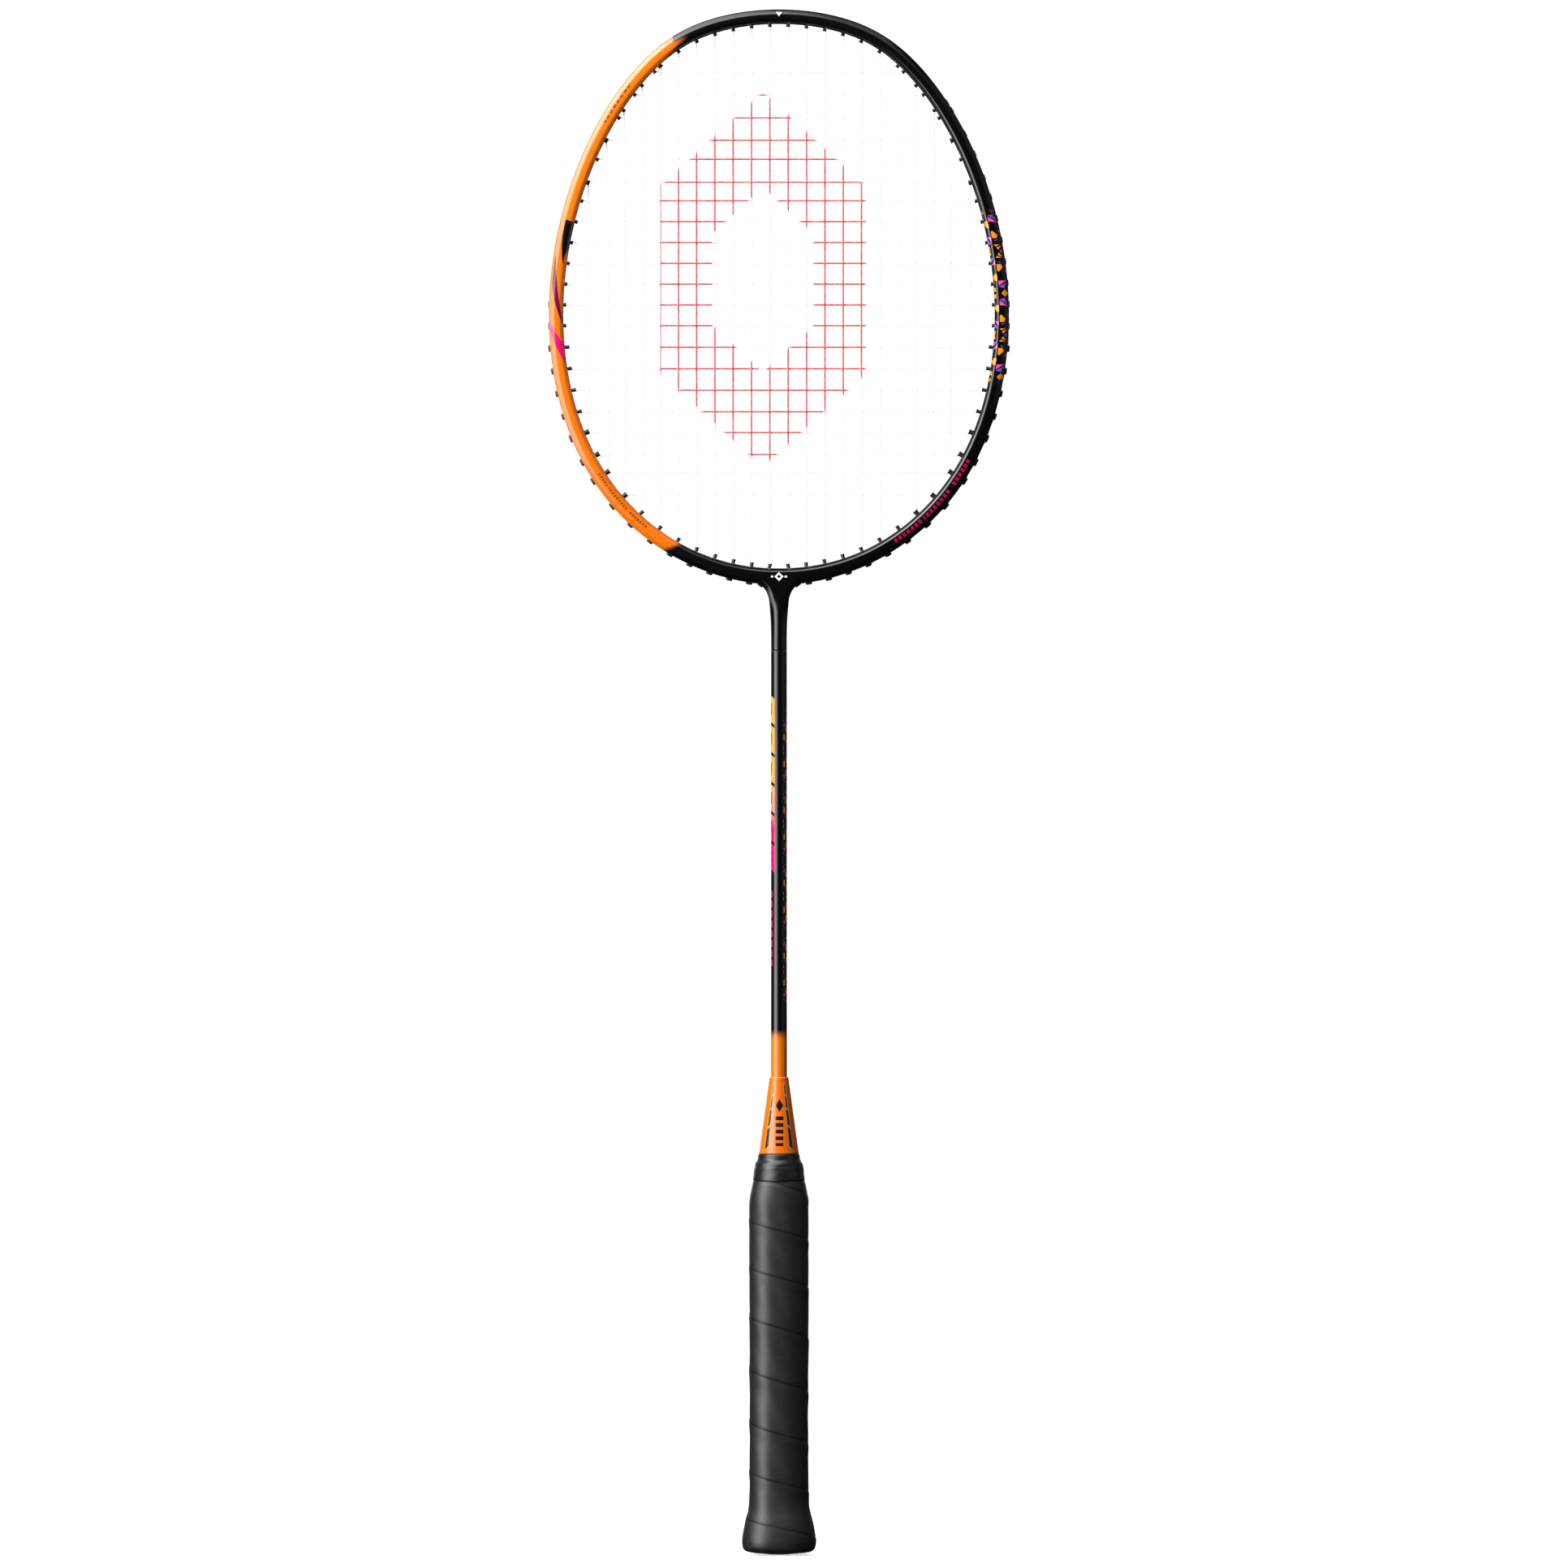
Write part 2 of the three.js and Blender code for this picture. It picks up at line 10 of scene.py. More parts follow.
import bpy
import numpy as np
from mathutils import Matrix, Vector


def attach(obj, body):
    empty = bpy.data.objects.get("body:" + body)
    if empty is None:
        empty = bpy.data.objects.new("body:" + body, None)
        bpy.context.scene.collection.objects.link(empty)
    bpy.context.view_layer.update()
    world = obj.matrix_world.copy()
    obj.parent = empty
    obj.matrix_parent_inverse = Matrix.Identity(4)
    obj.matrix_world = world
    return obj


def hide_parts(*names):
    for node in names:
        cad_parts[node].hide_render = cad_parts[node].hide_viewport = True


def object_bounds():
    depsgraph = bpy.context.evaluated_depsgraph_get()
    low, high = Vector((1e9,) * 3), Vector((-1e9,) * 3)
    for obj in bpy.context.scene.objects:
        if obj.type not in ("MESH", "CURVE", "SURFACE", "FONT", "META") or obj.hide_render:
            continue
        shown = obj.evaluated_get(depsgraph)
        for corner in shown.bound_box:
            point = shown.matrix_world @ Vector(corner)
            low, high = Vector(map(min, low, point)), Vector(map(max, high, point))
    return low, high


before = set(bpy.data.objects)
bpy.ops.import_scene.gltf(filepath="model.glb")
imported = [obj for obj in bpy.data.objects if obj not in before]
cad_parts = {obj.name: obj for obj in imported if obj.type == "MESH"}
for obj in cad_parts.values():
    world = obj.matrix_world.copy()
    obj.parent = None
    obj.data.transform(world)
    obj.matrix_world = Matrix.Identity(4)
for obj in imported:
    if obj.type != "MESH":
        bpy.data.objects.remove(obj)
cad_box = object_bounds()

MM = 0.001

# ---- Dimensions shared with the CAD model ----

# The head's outer edge: the distance from HEAD_Z to the tangent that faces an angle from the top
# is HEAD_R plus HEAD_WAVES[n] cos(n angle).
HEAD_Z = 548.9
HEAD_R = 114.36
HEAD_WAVES = {2: 12.68, 3: 1.31, 4: -1.26, 5: -0.79, 6: -0.13, 7: -0.07}
HOOP_WIDTH = 6.4
THROAT_SWELL = 0.8
SWELL_FROM = 148  # degrees from the top
GROOVE_DEPTH = 1.7
GROOVE_END = 92.4  # degrees from the top
GROOVE_FADE = 1.4  # degrees

NECK_BOTTOM = 395
SHAFT_R = 3.5
HANDLE_TOP = 163.4
SHAFT_IN_HANDLE = 75
CONE_TOP = 208.6
CONE_BOTTOM = 174.9
CONE_TOP_R = 4.13
CONE_BOTTOM_R = 8.76
TAPE_BOTTOM = 163.16

MAINS_PER_SIDE = 11
MAIN_FIRST_X = 4
MAIN_PITCH = 8.03
CROSSES = 21
CROSS_TOP_Z = 648.2
CROSS_PITCHES = (10.15, 9.1, 9.4)  # the first two gaps, the next ten, and the rest
STRING_PLANE = 0.45
SHARED = {"top10": 4, "top11": 6, "low9": 21, "low10": 20, "low11": 18}
AIM_UPPER, AIM_LOWER = 6.3, 7.0
REACH_UPPER, REACH_LOWER = 1.1, 1.9
MAIN_TIE_CROSS = 19
CROSS_START_TIE, CROSS_END_TIE = "top7", "low8"
TOP_STRIP_END = 45
THROAT_EXIT_SHIFT = 2.4

# ---- Dimensions of the looks ----

STRING_R = 0.34
WEAVE = 0.34  # how far a string swings to each side at a crossing
LOOP_IN_GROOVE = -0.6  # lift of a string's centre between two holes of a strip
LOOP_ON_HEADS = 0.1  # the same where it lies in the slots of single grommets' heads
LOOP_DIP = 0.5  # how much lower it lies between two such heads


# ---- Numbers and curves ----


def clamp01(value):
    return np.clip(value, 0, 1)


def smooth(value):
    """A smooth step from 0 at 0 to 1 at 1."""
    t = clamp01(value)
    return t * t * (3 - 2 * t)


def hoop_point(turn, lift=0.0):
    """x and z at an angle from the top towards +X, in degrees, lifted above the outer edge."""
    a = np.radians(turn)
    h = HEAD_R + lift + sum(size * np.cos(n * a) for n, size in HEAD_WAVES.items())
    slope = -sum(n * size * np.sin(n * a) for n, size in HEAD_WAVES.items())
    return h * np.sin(a) + slope * np.cos(a), HEAD_Z + h * np.cos(a) - slope * np.sin(a)


def hoop_swell(turn):
    return THROAT_SWELL * smooth((np.abs(turn) - SWELL_FROM) / (180 - SWELL_FROM))


def hoop_width(turn):
    return HOOP_WIDTH + hoop_swell(turn)


def unit(vector):
    return vector / np.linalg.norm(vector, axis=-1, keepdims=True)


def round_corner(before, corner, after, cut, steps):
    """Points on a small arc that replaces a corner, starting and ending cut away from it."""
    a = corner + unit(before - corner) * cut
    b = corner + unit(after - corner) * cut
    ts = np.linspace(0, 1, steps)[:, None]
    return (1 - ts) ** 2 * a + 2 * ts * (1 - ts) * corner + ts**2 * b


def rounded_path(points, cut=0.7, steps=5, least_turn=12):
    """The path with an arc in place of every corner that turns more than least_turn degrees."""
    points = np.asarray(points, float)
    out = [points[:1]]
    for before, corner, after in zip(points, points[1:], points[2:]):
        into, away = corner - before, after - corner
        cosine = np.dot(unit(into), unit(away))
        if cosine > math.cos(math.radians(least_turn)):
            out.append(corner[None])
            continue
        reach = min(cut, np.linalg.norm(into) * 0.45, np.linalg.norm(away) * 0.45)
        out.append(round_corner(before, corner, after, reach, steps))
    out.append(points[-1:])
    return np.concatenate(out)


# ---- Making pieces ----


def skin_faces(rings, sides, closed=False):
    """Quads between rings of points laid one after the other."""
    ring = np.arange(rings if closed else rings - 1)[:, None] * sides
    i = np.arange(sides)[None]
    j = (i + 1) % sides
    above = (ring + sides) % (rings * sides)
    return np.stack([ring + i, ring + j, above + j, above + i], -1).reshape(-1, 4).tolist()


def capped_faces(rings, sides):
    last = (rings - 1) * sides
    caps = [list(range(sides))[::-1], [last + i for i in range(sides)]]
    return skin_faces(rings, sides) + caps


class Shell:
    """Points and faces gathered into one mesh, with values that its material reads."""

    def __init__(self):
        self.points, self.faces, self.values, self.count = [], [], {}, 0

    def add(self, points, faces, **values):
        points = np.asarray(points, float).reshape(-1, 3)
        self.points.append(points)
        self.faces += [[i + self.count for i in face] for face in faces]
        for name in set(self.values) | set(values):
            earlier = self.values.setdefault(name, np.zeros(self.count))
            new = np.broadcast_to(np.asarray(values.get(name, 0.0), float), len(points))
            self.values[name] = np.concatenate([earlier, new])
        self.count += len(points)

    def piece(self, name, material, slot, *nodes):
        """A Blender object in metres that stands for these CAD nodes."""
        points = np.concatenate(self.points) * MM
        mesh = bpy.data.meshes.new(name)
        mesh.from_pydata(points.tolist(), [], self.faces)
        mesh.polygons.foreach_set("use_smooth", [True] * len(mesh.polygons))
        for key, values in self.values.items():
            layer = mesh.attributes.new(key, "FLOAT", "POINT")
            layer.data.foreach_set("value", values.astype(np.float32))
        mesh.materials.append(material)
        mesh.update()
        if outward_volume(mesh) < 0:
            mesh.flip_normals()
        obj = bpy.data.objects.new(name, mesh)
        bpy.context.scene.collection.objects.link(obj)
        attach(obj, "root")
        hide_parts(*nodes)
        return obj


def outward_volume(mesh):
    mesh.calc_loop_triangles()
    index = np.zeros(len(mesh.loop_triangles) * 3, np.int32)
    mesh.loop_triangles.foreach_get("vertices", index)
    co = np.zeros(len(mesh.vertices) * 3)
    mesh.vertices.foreach_get("co", co)
    a, b, c = co.reshape(-1, 3)[index.reshape(-1, 3)].transpose(1, 0, 2)
    return np.einsum("ij,ij->i", a, np.cross(b, c)).sum()


def lathe(profile, sides):
    """Rings round Z from [radius, height] points: the points, and the count of rings."""
    a = np.linspace(0, 2 * np.pi, sides, endpoint=False)
    rings = [np.stack([r * np.cos(a), r * np.sin(a), np.full(sides, z)], -1) for r, z in profile]
    return np.concatenate(rings), len(profile)


def tube(shell, path, radius, sides=8, **values):
    """Adds a round cord along a path, with rings that turn with it."""
    path = np.asarray(path, float)
    gaps = np.linalg.norm(np.diff(path, axis=0), axis=1)
    path = path[np.concatenate([[True], gaps > 1e-4])]
    along = unit(np.gradient(path, axis=0))
    side = unit(np.cross(along[0], [0.3, 1.0, 0.2]))
    rings = []
    a = np.linspace(0, 2 * np.pi, sides, endpoint=False)[:, None]
    for point, way in zip(path, along):
        side = unit(side - np.dot(side, way) * way)
        rings.append(point + radius * (np.cos(a) * side + np.sin(a) * np.cross(way, side)))
    shell.add(np.concatenate(rings), capped_faces(len(rings), sides), **values)


# ---- Holes and strings ----


def solve_turn(value, wanted, low, high):
    rising = value(high) > value(low)
    for _ in range(50):
        mid = (low + high) / 2
        if (value(mid) < wanted) == rising:
            low = mid
        else:
            high = mid
    return (low + high) / 2


def main_x(i):
    return MAIN_FIRST_X + MAIN_PITCH * (i - 1)


def cross_z(k):
    first, middle, low = CROSS_PITCHES
    return (CROSS_TOP_Z - first * min(k - 1, 2) - middle * min(max(k - 3, 0), 10) - low * max(k - 13, 0))


def right_holes():
    """Every hole of the right half, from the top, with its main end and its cross."""
    holes = []
    for i in range(1, MAINS_PER_SIDE + 1):
        top = solve_turn(lambda t: hoop_point(t, -AIM_UPPER)[0], main_x(i), 0, 90)
        low = solve_turn(lambda t: hoop_point(t, -AIM_LOWER)[0], main_x(i), 90, 180)
        holes += [{"turn": top, "main": f"top{i}"}, {"turn": low, "main": f"low{i}"}]
    for k in range(1, CROSSES + 1):
        aim = AIM_UPPER if cross_z(k) > HEAD_Z else AIM_LOWER
        turn = solve_turn(lambda t: hoop_point(t, -aim)[1], cross_z(k), 0, 180)
        near = next((h for h in holes if SHARED.get(h.get("main")) == k), None)
        if near:
            near.update(cross=k, turn=(near["turn"] + turn) / 2)
        else:
            holes.append({"turn": turn, "cross": k})
    return sorted(holes, key=lambda h: h["turn"])


KNEE = 1.6  # how far above the hoop's inner wall an axis may bend


class Hole:
    def __init__(self, facts, sign):
        self.turn, self.sign = facts["turn"], sign
        self.main, self.cross = facts.get("main"), facts.get("cross")
        tied = (
            self.cross == MAIN_TIE_CROSS
            or (sign < 0 and self.main == CROSS_START_TIE)
            or (sign > 0 and self.main == CROSS_END_TIE)
        )
        self.wide = bool(tied or (self.main and self.cross))
        self.exit = self.turn - (THROAT_EXIT_SHIFT if self.main == "low1" else 0)
        self.on_strip = self.turn < GROOVE_END
        self.y = 0 if self.wide else STRING_PLANE if self.main else -STRING_PLANE
        self.lip = hoop_width(self.turn) + (REACH_UPPER if self.on_strip else REACH_LOWER)
        self.loop = LOOP_IN_GROOVE if self.on_strip else LOOP_ON_HEADS

    def point(self, lift, y=None):
        """The point on the hole's axis at a lift above the hoop's outer edge.

        The axis turns square to the hoop just under its inner wall.
        """
        wall = KNEE - hoop_width(self.turn)
        foot = np.array(hoop_point(self.exit))
        inner = np.array(hoop_point(self.turn, wall))
        x, z = foot + (inner - foot) * (max(lift, wall) / wall)
        a = math.radians(self.turn)
        past = max(wall - lift, 0)
        x, z = x - past * math.sin(a), z - past * math.cos(a)
        return np.array([self.sign * x, self.y if y is None else y, z])

    def axes(self, lift):
        """Unit vectors outwards along the axis, and along the hoop, at a lift."""
        out = unit(self.point(lift + 0.05) - self.point(lift - 0.05))
        return out, np.array([out[2], 0, -out[0]])


HOLES = [Hole(facts, sign) for facts in right_holes() for sign in (1, -1)]


def find_hole(sign, **wanted):
    (key, value), = wanted.items()
    return next(h for h in HOLES if h.sign == sign and getattr(h, key) == value)


SLACK = 0.42  # how far from its hole's axis a string may leave the lip


def leave_point(hole, nominal, axis, y):
    """Where a string turns at a lip: as near to its nominal line as the lip lets it."""
    point = hole.point(-hole.lip + 0.1, y)
    point[axis] += np.clip(nominal - point[axis], -SLACK, SLACK)
    return point


def run_ends(kind, number):
    """The two turning points of a main or a cross: the lower or left one first."""
    if kind == "main":
        sign = 1 if number > 0 else -1
        low, top = (find_hole(sign, main=f"{end}{abs(number)}") for end in ("low", "top"))
        x = sign * main_x(abs(number))
        return [leave_point(hole, x, 0, STRING_PLANE) for hole in (low, top)]
    left, right = find_hole(-1, cross=number), find_hole(1, cross=number)
    return [leave_point(hole, cross_z(number), 2, -STRING_PLANE) for hole in (left, right)]


MAINS = [i for n in range(1, MAINS_PER_SIDE + 1) for i in (-n, n)]
MAIN_ENDS = {i: run_ends("main", i) for i in MAINS}
CROSS_ENDS = {k: run_ends("cross", k) for k in range(1, CROSSES + 1)}


def crossing(i, k):
    """x and z where main i meets cross k, or None if they don't meet."""
    low, top = MAIN_ENDS[i]
    left, right = CROSS_ENDS[k]
    x, z = low[0], left[2]
    for _ in range(4):
        x = low[0] + (top[0] - low[0]) * (z - low[2]) / (top[2] - low[2])
        z = left[2] + (right[2] - left[2]) * (x - left[0]) / (right[0] - left[0])
    inside = low[2] + 1 < z < top[2] - 1 and left[0] + 1 < x < right[0] - 1
    return (x, z) if inside else None


def main_column(i):
    """Mains counted from the left, for the weave's parity."""
    return MAINS_PER_SIDE + (i if i < 0 else i - 1)


def woven_run(kind, number):
    """Points of a run in the string bed, over and under the strings it crosses."""
    if kind == "main":
        start, end = MAIN_ENDS[number]
        meets = [(crossing(number, k), main_column(number) + k) for k in CROSS_ENDS]
    else:
        start, end = CROSS_ENDS[number]
        meets = [(crossing(i, number), main_column(i) + number + 1) for i in MAINS]
    way = end - start
    length = np.dot(way, way)
    knots = [(0.0, start[1])]
    for meet, parity in meets:
        if meet:
            at = (meet[0] - start[0]) * way[0] + (meet[1] - start[2]) * way[2]
            knots.append((at / length, WEAVE * (1 if parity % 2 else -1)))
    knots = sorted(knots) + [(1.0, end[1])]
    points = []
    for (t0, y0), (t1, y1) in zip(knots, knots[1:]):
        for share in (0, 0.2, 0.4, 0.6, 0.8):
            t = t0 + (t1 - t0) * share
            point = start + way * t
            point[1] = y0 + (y1 - y0) * smooth(share)
            points.append(point)
    return points + [end.copy()]


def outside_loop(a, b, y):
    """Points from hole a to hole b round the outside of the hoop."""
    start, sweep = a.sign * a.exit, b.sign * b.exit - a.sign * a.exit
    sweep -= 360 * round(sweep / 360)
    steps = max(3, math.ceil(abs(sweep) / 0.8))
    points = [a.point(a.loop, y)]
    for i in range(1, steps):
        t = i / steps
        t_lift = t
        if a.on_strip != b.on_strip:  # it climbs out of the groove before the first head
            t_lift = clamp01(1.6 * t - (0.6 if b.on_strip else 0))
        lift = a.loop + (b.loop - a.loop) * t_lift
        if not (a.on_strip or b.on_strip):  # it lies against the hoop between two heads
            lift -= LOOP_DIP * smooth((min(t, 1 - t) * abs(sweep) - 0.9) / 0.8)
        x, z = hoop_point(start + sweep * t, lift)
        points.append(np.array([x, y, z]))
    return points + [b.point(b.loop, y)]


KNOT_TURNS = 2.5
KNOT_GAP = 0.7  # from the lip to the knot's first turn
KNOT_STEP = 0.72  # along the held string for each turn


def knot_points(hole, ends, y):
    """A coil round the string that leaves the same lip, ending in a short tail."""
    held = min(ends, key=lambda pair: np.linalg.norm(pair[0] - hole.point(-hole.lip)))
    along = unit(held[1] - held[0])
    side = unit(np.cross(along, [0, 1, 0]))
    front = np.cross(side, along)
    start = held[0] + along * KNOT_GAP
    points = []
    count = int(KNOT_TURNS * 14)
    facing = math.atan2(np.dot(np.array([0, y, 0]), front), 0.001)
    for i in range(count):
        a = facing + 2 * np.pi * i / 14
        around = 2.05 * STRING_R * (np.cos(a) * side + np.sin(a) * front)
        points.append(start + around + along * KNOT_STEP * i / 14)
    tail = unit(points[-1] - points[-2]) + 0.6 * along
    points.append(points[-1] + 1.3 * unit(tail))
    return points


def strung(runs, y, start_tie, end_tie, all_ends):
    """The whole path of a string: runs given as (first hole, last hole, points)."""
    ends = [pair for a, b in all_ends for pair in ((a, b), (b, a))]
    path = knot_points(start_tie, ends, y)[::-1]
    path += [start_tie.point(-start_tie.lip, y * 0.7), start_tie.point(-2, y * 0.7)]
    path += outside_loop(start_tie, runs[0][0], y)
    for n, (first, last, points) in enumerate(runs):
        after = runs[n + 1][0] if n < len(runs) - 1 else end_tie
        path += [first.point(-first.lip + 2, y)] + points + [last.point(-last.lip + 2, y)]
        path += outside_loop(last, after, y)
    path += [end_tie.point(-2, y * 0.7), end_tie.point(-end_tie.lip, y * 0.7)]
    return path + knot_points(end_tie, ends, y)


def main_path():
    """Up the outermost right main, to and fro, and down the outermost left."""
    runs = []
    order = [MAINS_PER_SIDE - n for n in range(MAINS_PER_SIDE)]
    order += [-(n + 1) for n in range(MAINS_PER_SIDE)]
    for turn, i in enumerate(order):
        sign = 1 if i > 0 else -1
        low, top = (find_hole(sign, main=f"{end}{abs(i)}") for end in ("low", "top"))
        points = woven_run("main", i)
        runs.append((top, low, points[::-1]) if turn % 2 else (low, top, points))
    right, left = (find_hole(sign, cross=MAIN_TIE_CROSS) for sign in (1, -1))
    return strung(runs, STRING_PLANE, right, left, CROSS_ENDS.values())


def cross_path():
    """From the top left, to and fro, down to the lowest cross."""
    runs = []
    for k in range(1, CROSSES + 1):
        left, right = (find_hole(sign, cross=k) for sign in (-1, 1))
        points = woven_run("cross", k)
        runs.append((left, right, points) if k % 2 else (right, left, points[::-1]))
    start = find_hole(-1, main=CROSS_START_TIE)
    end = find_hole(1, main=CROSS_END_TIE)
    return strung(runs, -STRING_PLANE, start, end, MAIN_ENDS.values())


# ---- Node graphs for materials ----


class Value:
    """A number that a material computes at each point, written as an expression."""

    def __init__(self, tree, socket):
        self.tree, self.socket = tree, socket

    def math(self, operation, *others):
        node = self.tree.nodes.new("ShaderNodeMath")
        node.operation = operation
        for socket, value in zip(node.inputs, (self, *others)):
            plug(self.tree, socket, value)
        return Value(self.tree, node.outputs[0])

    def __add__(self, other):
        return self.math("ADD", other)

    def __sub__(self, other):
        return self.math("SUBTRACT", other)

    def __mul__(self, other):
        return self.math("MULTIPLY", other)

    def __rsub__(self, other):
        return (self * -1) + other

    def power(self, exponent):
        return self.math("MAXIMUM", 0.0).math("POWER", exponent)

    def least(self, other):
        return self.math("MINIMUM", other)

    def most(self, other):
        return self.math("MAXIMUM", other)

    def step(self, low, high):
        """0 up to low and 1 from high, or the other way round where high is the smaller."""
        node = self.tree.nodes.new("ShaderNodeMapRange")
        node.interpolation_type = "SMOOTHSTEP"
        for name, value in (("Value", self), ("From Min", low), ("From Max", high)):
            plug(self.tree, node.inputs[name], value)
        return Value(self.tree, node.outputs["Result"])


def plug(tree, socket, value):
    if isinstance(value, Value):
        tree.links.new(value.socket, socket)
    else:
        socket.default_value = value


class Paint:
    """A material under construction."""

    def __init__(self, name):
        self.material = bpy.data.materials.new(name)
        self.material.use_nodes = True
        self.tree = self.material.node_tree
        self.shader = self.tree.nodes["Principled BSDF"]
        place = self.tree.nodes.new("ShaderNodeTexCoord").outputs["Object"]
        self.place = self.scaled(place, (1000, 1000, 1000))  # millimetres
        split = self.tree.nodes.new("ShaderNodeSeparateXYZ")
        self.tree.links.new(self.place, split.inputs[0])
        self.x, self.y, self.z = (Value(self.tree, s) for s in split.outputs)

    def scaled(self, vector, factors):
        node = self.tree.nodes.new("ShaderNodeVectorMath")
        node.operation = "MULTIPLY"
        self.tree.links.new(vector, node.inputs[0])
        node.inputs[1].default_value = factors
        return node.outputs[0]

    def read(self, name):
        node = self.tree.nodes.new("ShaderNodeAttribute")
        node.attribute_name = name
        return Value(self.tree, node.outputs["Fac"])

    def join(self, x, y, z=0.0):
        node = self.tree.nodes.new("ShaderNodeCombineXYZ")
        for socket, value in zip(node.inputs, (x, y, z)):
            plug(self.tree, socket, value)
        return node.outputs[0]

    def noise(self, size, detail=3.0, stretch=(1, 1, 1)):
        """Noise from 0 to 1 whose blobs are about size millimetres across."""
        node = self.tree.nodes.new("ShaderNodeTexNoise")
        factors = [s / size for s in stretch]
        self.tree.links.new(self.scaled(self.place, factors), node.inputs["Vector"])
        node.inputs["Scale"].default_value = 1.0
        node.inputs["Detail"].default_value = detail
        return Value(self.tree, node.outputs["Fac"])

    def specks(self, size):
        """The distance from the middle of the nearest of many scattered spots, in spot sizes."""
        node = self.tree.nodes.new("ShaderNodeTexVoronoi")
        self.tree.links.new(self.scaled(self.place, [1 / size] * 3), node.inputs["Vector"])
        node.inputs["Scale"].default_value = 1.0
        return Value(self.tree, node.outputs["Distance"])

    def mix(self, share, below, above):
        """The colour below, covered by the one above where share is 1."""
        node = self.tree.nodes.new("ShaderNodeMix")
        node.data_type = "RGBA"
        plug(self.tree, node.inputs["Factor"], share)
        for socket, colour in ((node.inputs[6], below), (node.inputs[7], above)):
            if isinstance(colour, tuple):
                socket.default_value = (*colour, 1)
            else:
                self.tree.links.new(colour, socket)
        return node.outputs[2]

    def polygon(self, s, t, corners, edge):
        """1 inside a convex polygon of (s, t) corners, with soft edges edge wide."""
        area = sum(a[0] * b[1] - a[1] * b[0] for a, b in zip(corners, corners[1:] + corners[:1]))
        corners = corners if area > 0 else corners[::-1]
        inside = None
        for (s0, t0), (s1, t1) in zip(corners, corners[1:] + corners[:1]):
            length = math.hypot(s1 - s0, t1 - t0)
            nx, ny = (t0 - t1) / length, (s1 - s0) / length
            node = self.tree.nodes.new("ShaderNodeVectorMath")
            node.operation = "DOT_PRODUCT"
            self.tree.links.new(self.join(s, t, 1.0), node.inputs[0])
            node.inputs[1].default_value = (nx, ny, -(nx * s0 + ny * t0))
            depth = Value(self.tree, node.outputs["Value"])
            inside = depth if inside is None else inside.least(depth)
        return inside.step(-edge, edge)

    def done(self, colour, roughness, height=None, bump=0.01, **constants):
        """Plugs colour, roughness and a height (0 to 1, bump millimetres deep)."""
        base = self.shader.inputs["Base Color"]
        if isinstance(colour, tuple):
            base.default_value = (*colour, 1)
        else:
            self.tree.links.new(colour, base)
        plug(self.tree, self.shader.inputs["Roughness"], roughness)
        if height is not None:
            node = self.tree.nodes.new("ShaderNodeBump")
            node.inputs["Strength"].default_value = 1.0
            node.inputs["Distance"].default_value = bump * MM
            plug(self.tree, node.inputs["Height"], height)
            self.tree.links.new(node.outputs[0], self.shader.inputs["Normal"])
        for name, value in constants.items():
            self.shader.inputs[name.replace("_", " ").title()].default_value = value
        return self.material


# ---- Colours, as linear light ----

BLACK = (0.0007, 0.0007, 0.0009)
ORANGE = (0.60, 0.132, 0.0015)
SHARD_ORANGE = (0.72, 0.225, 0.004)
PINK = (0.64, 0.065, 0.31)
PURPLE = (0.17, 0.065, 0.45)
MAROON = (0.13, 0.0, 0.03)
PLUM = (0.028, 0.007, 0.022)
MAGENTA = (0.62, 0.001, 0.105)
ROSE = (0.60, 0.10, 0.16)
SALMON = (0.70, 0.19, 0.11)
WHITE = (0.8, 0.8, 0.8)
DARK_PRINT = (0.035, 0.008, 0.002)

# The shards, as (colour, corners), each corner given as millimetres from the middle of the motif
# and a share of the width from its outer edge. The motif is mirrored at both its ends.
SHARD_HALF = 18.3
SHARDS = [
    (SHARD_ORANGE, [(1.6, 0.25), (0.0, 0.02), (-1.6, 0.25), (0.0, 0.48)]),
    (PINK, [(5.6, 0.08), (5.3, 0.64), (3.3, 0.63)]),
    (PURPLE, [(4.7, 0.10), (2.8, 0.62), (2.1, 0.28)]),
    (SHARD_ORANGE, [(12.6, 0.64), (12.6, 0.36), (11.3, 0.24), (9.4, 0.55), (9.9, 0.64)]),
    (PURPLE, [(11.2, 0.0), (9.2, 0.15), (8.8, 0.0)]),
    (PURPLE, [(13.9, 0.50), (13.5, 0.52), (12.9, 0.20)]),
    (SHARD_ORANGE, [(15.4, 0.62), (16.2, 0.52), (15.5, 0.22)]),
    (SHARD_ORANGE, [(16.6, 0.46), (17.7, 0.38), (16.0, 0.16)]),
    (PURPLE, [(18.3, 0.30), (18.9, 0.16), (17.4, 0.14)]),
    (MAROON, [(16.8, 0.06), (15.6, 0.12), (15.2, 0.02)]),
    (SHARD_ORANGE, [(8.3, 0.84), (8.1, 0.70), (5.3, 0.70), (5.4, 0.90), (6.8, 0.98)]),
    (PURPLE, [(15.2, 0.98), (15.3, 0.80), (13.2, 0.97)]),
    (PINK, [(12.1, 0.96), (14.3, 0.72), (12.5, 0.72)]),
    (SHARD_ORANGE, [(18.3, 0.99), (18.3, 0.93), (16.4, 0.90), (16.6, 0.99)]),
    (SHARD_ORANGE, [(2.4, 0.96), (2.2, 0.86), (0.5, 0.84), (0.9, 0.98)]),
    (MAROON, [(4.6, 0.99), (4.4, 0.88), (3.6, 0.97)]),
]


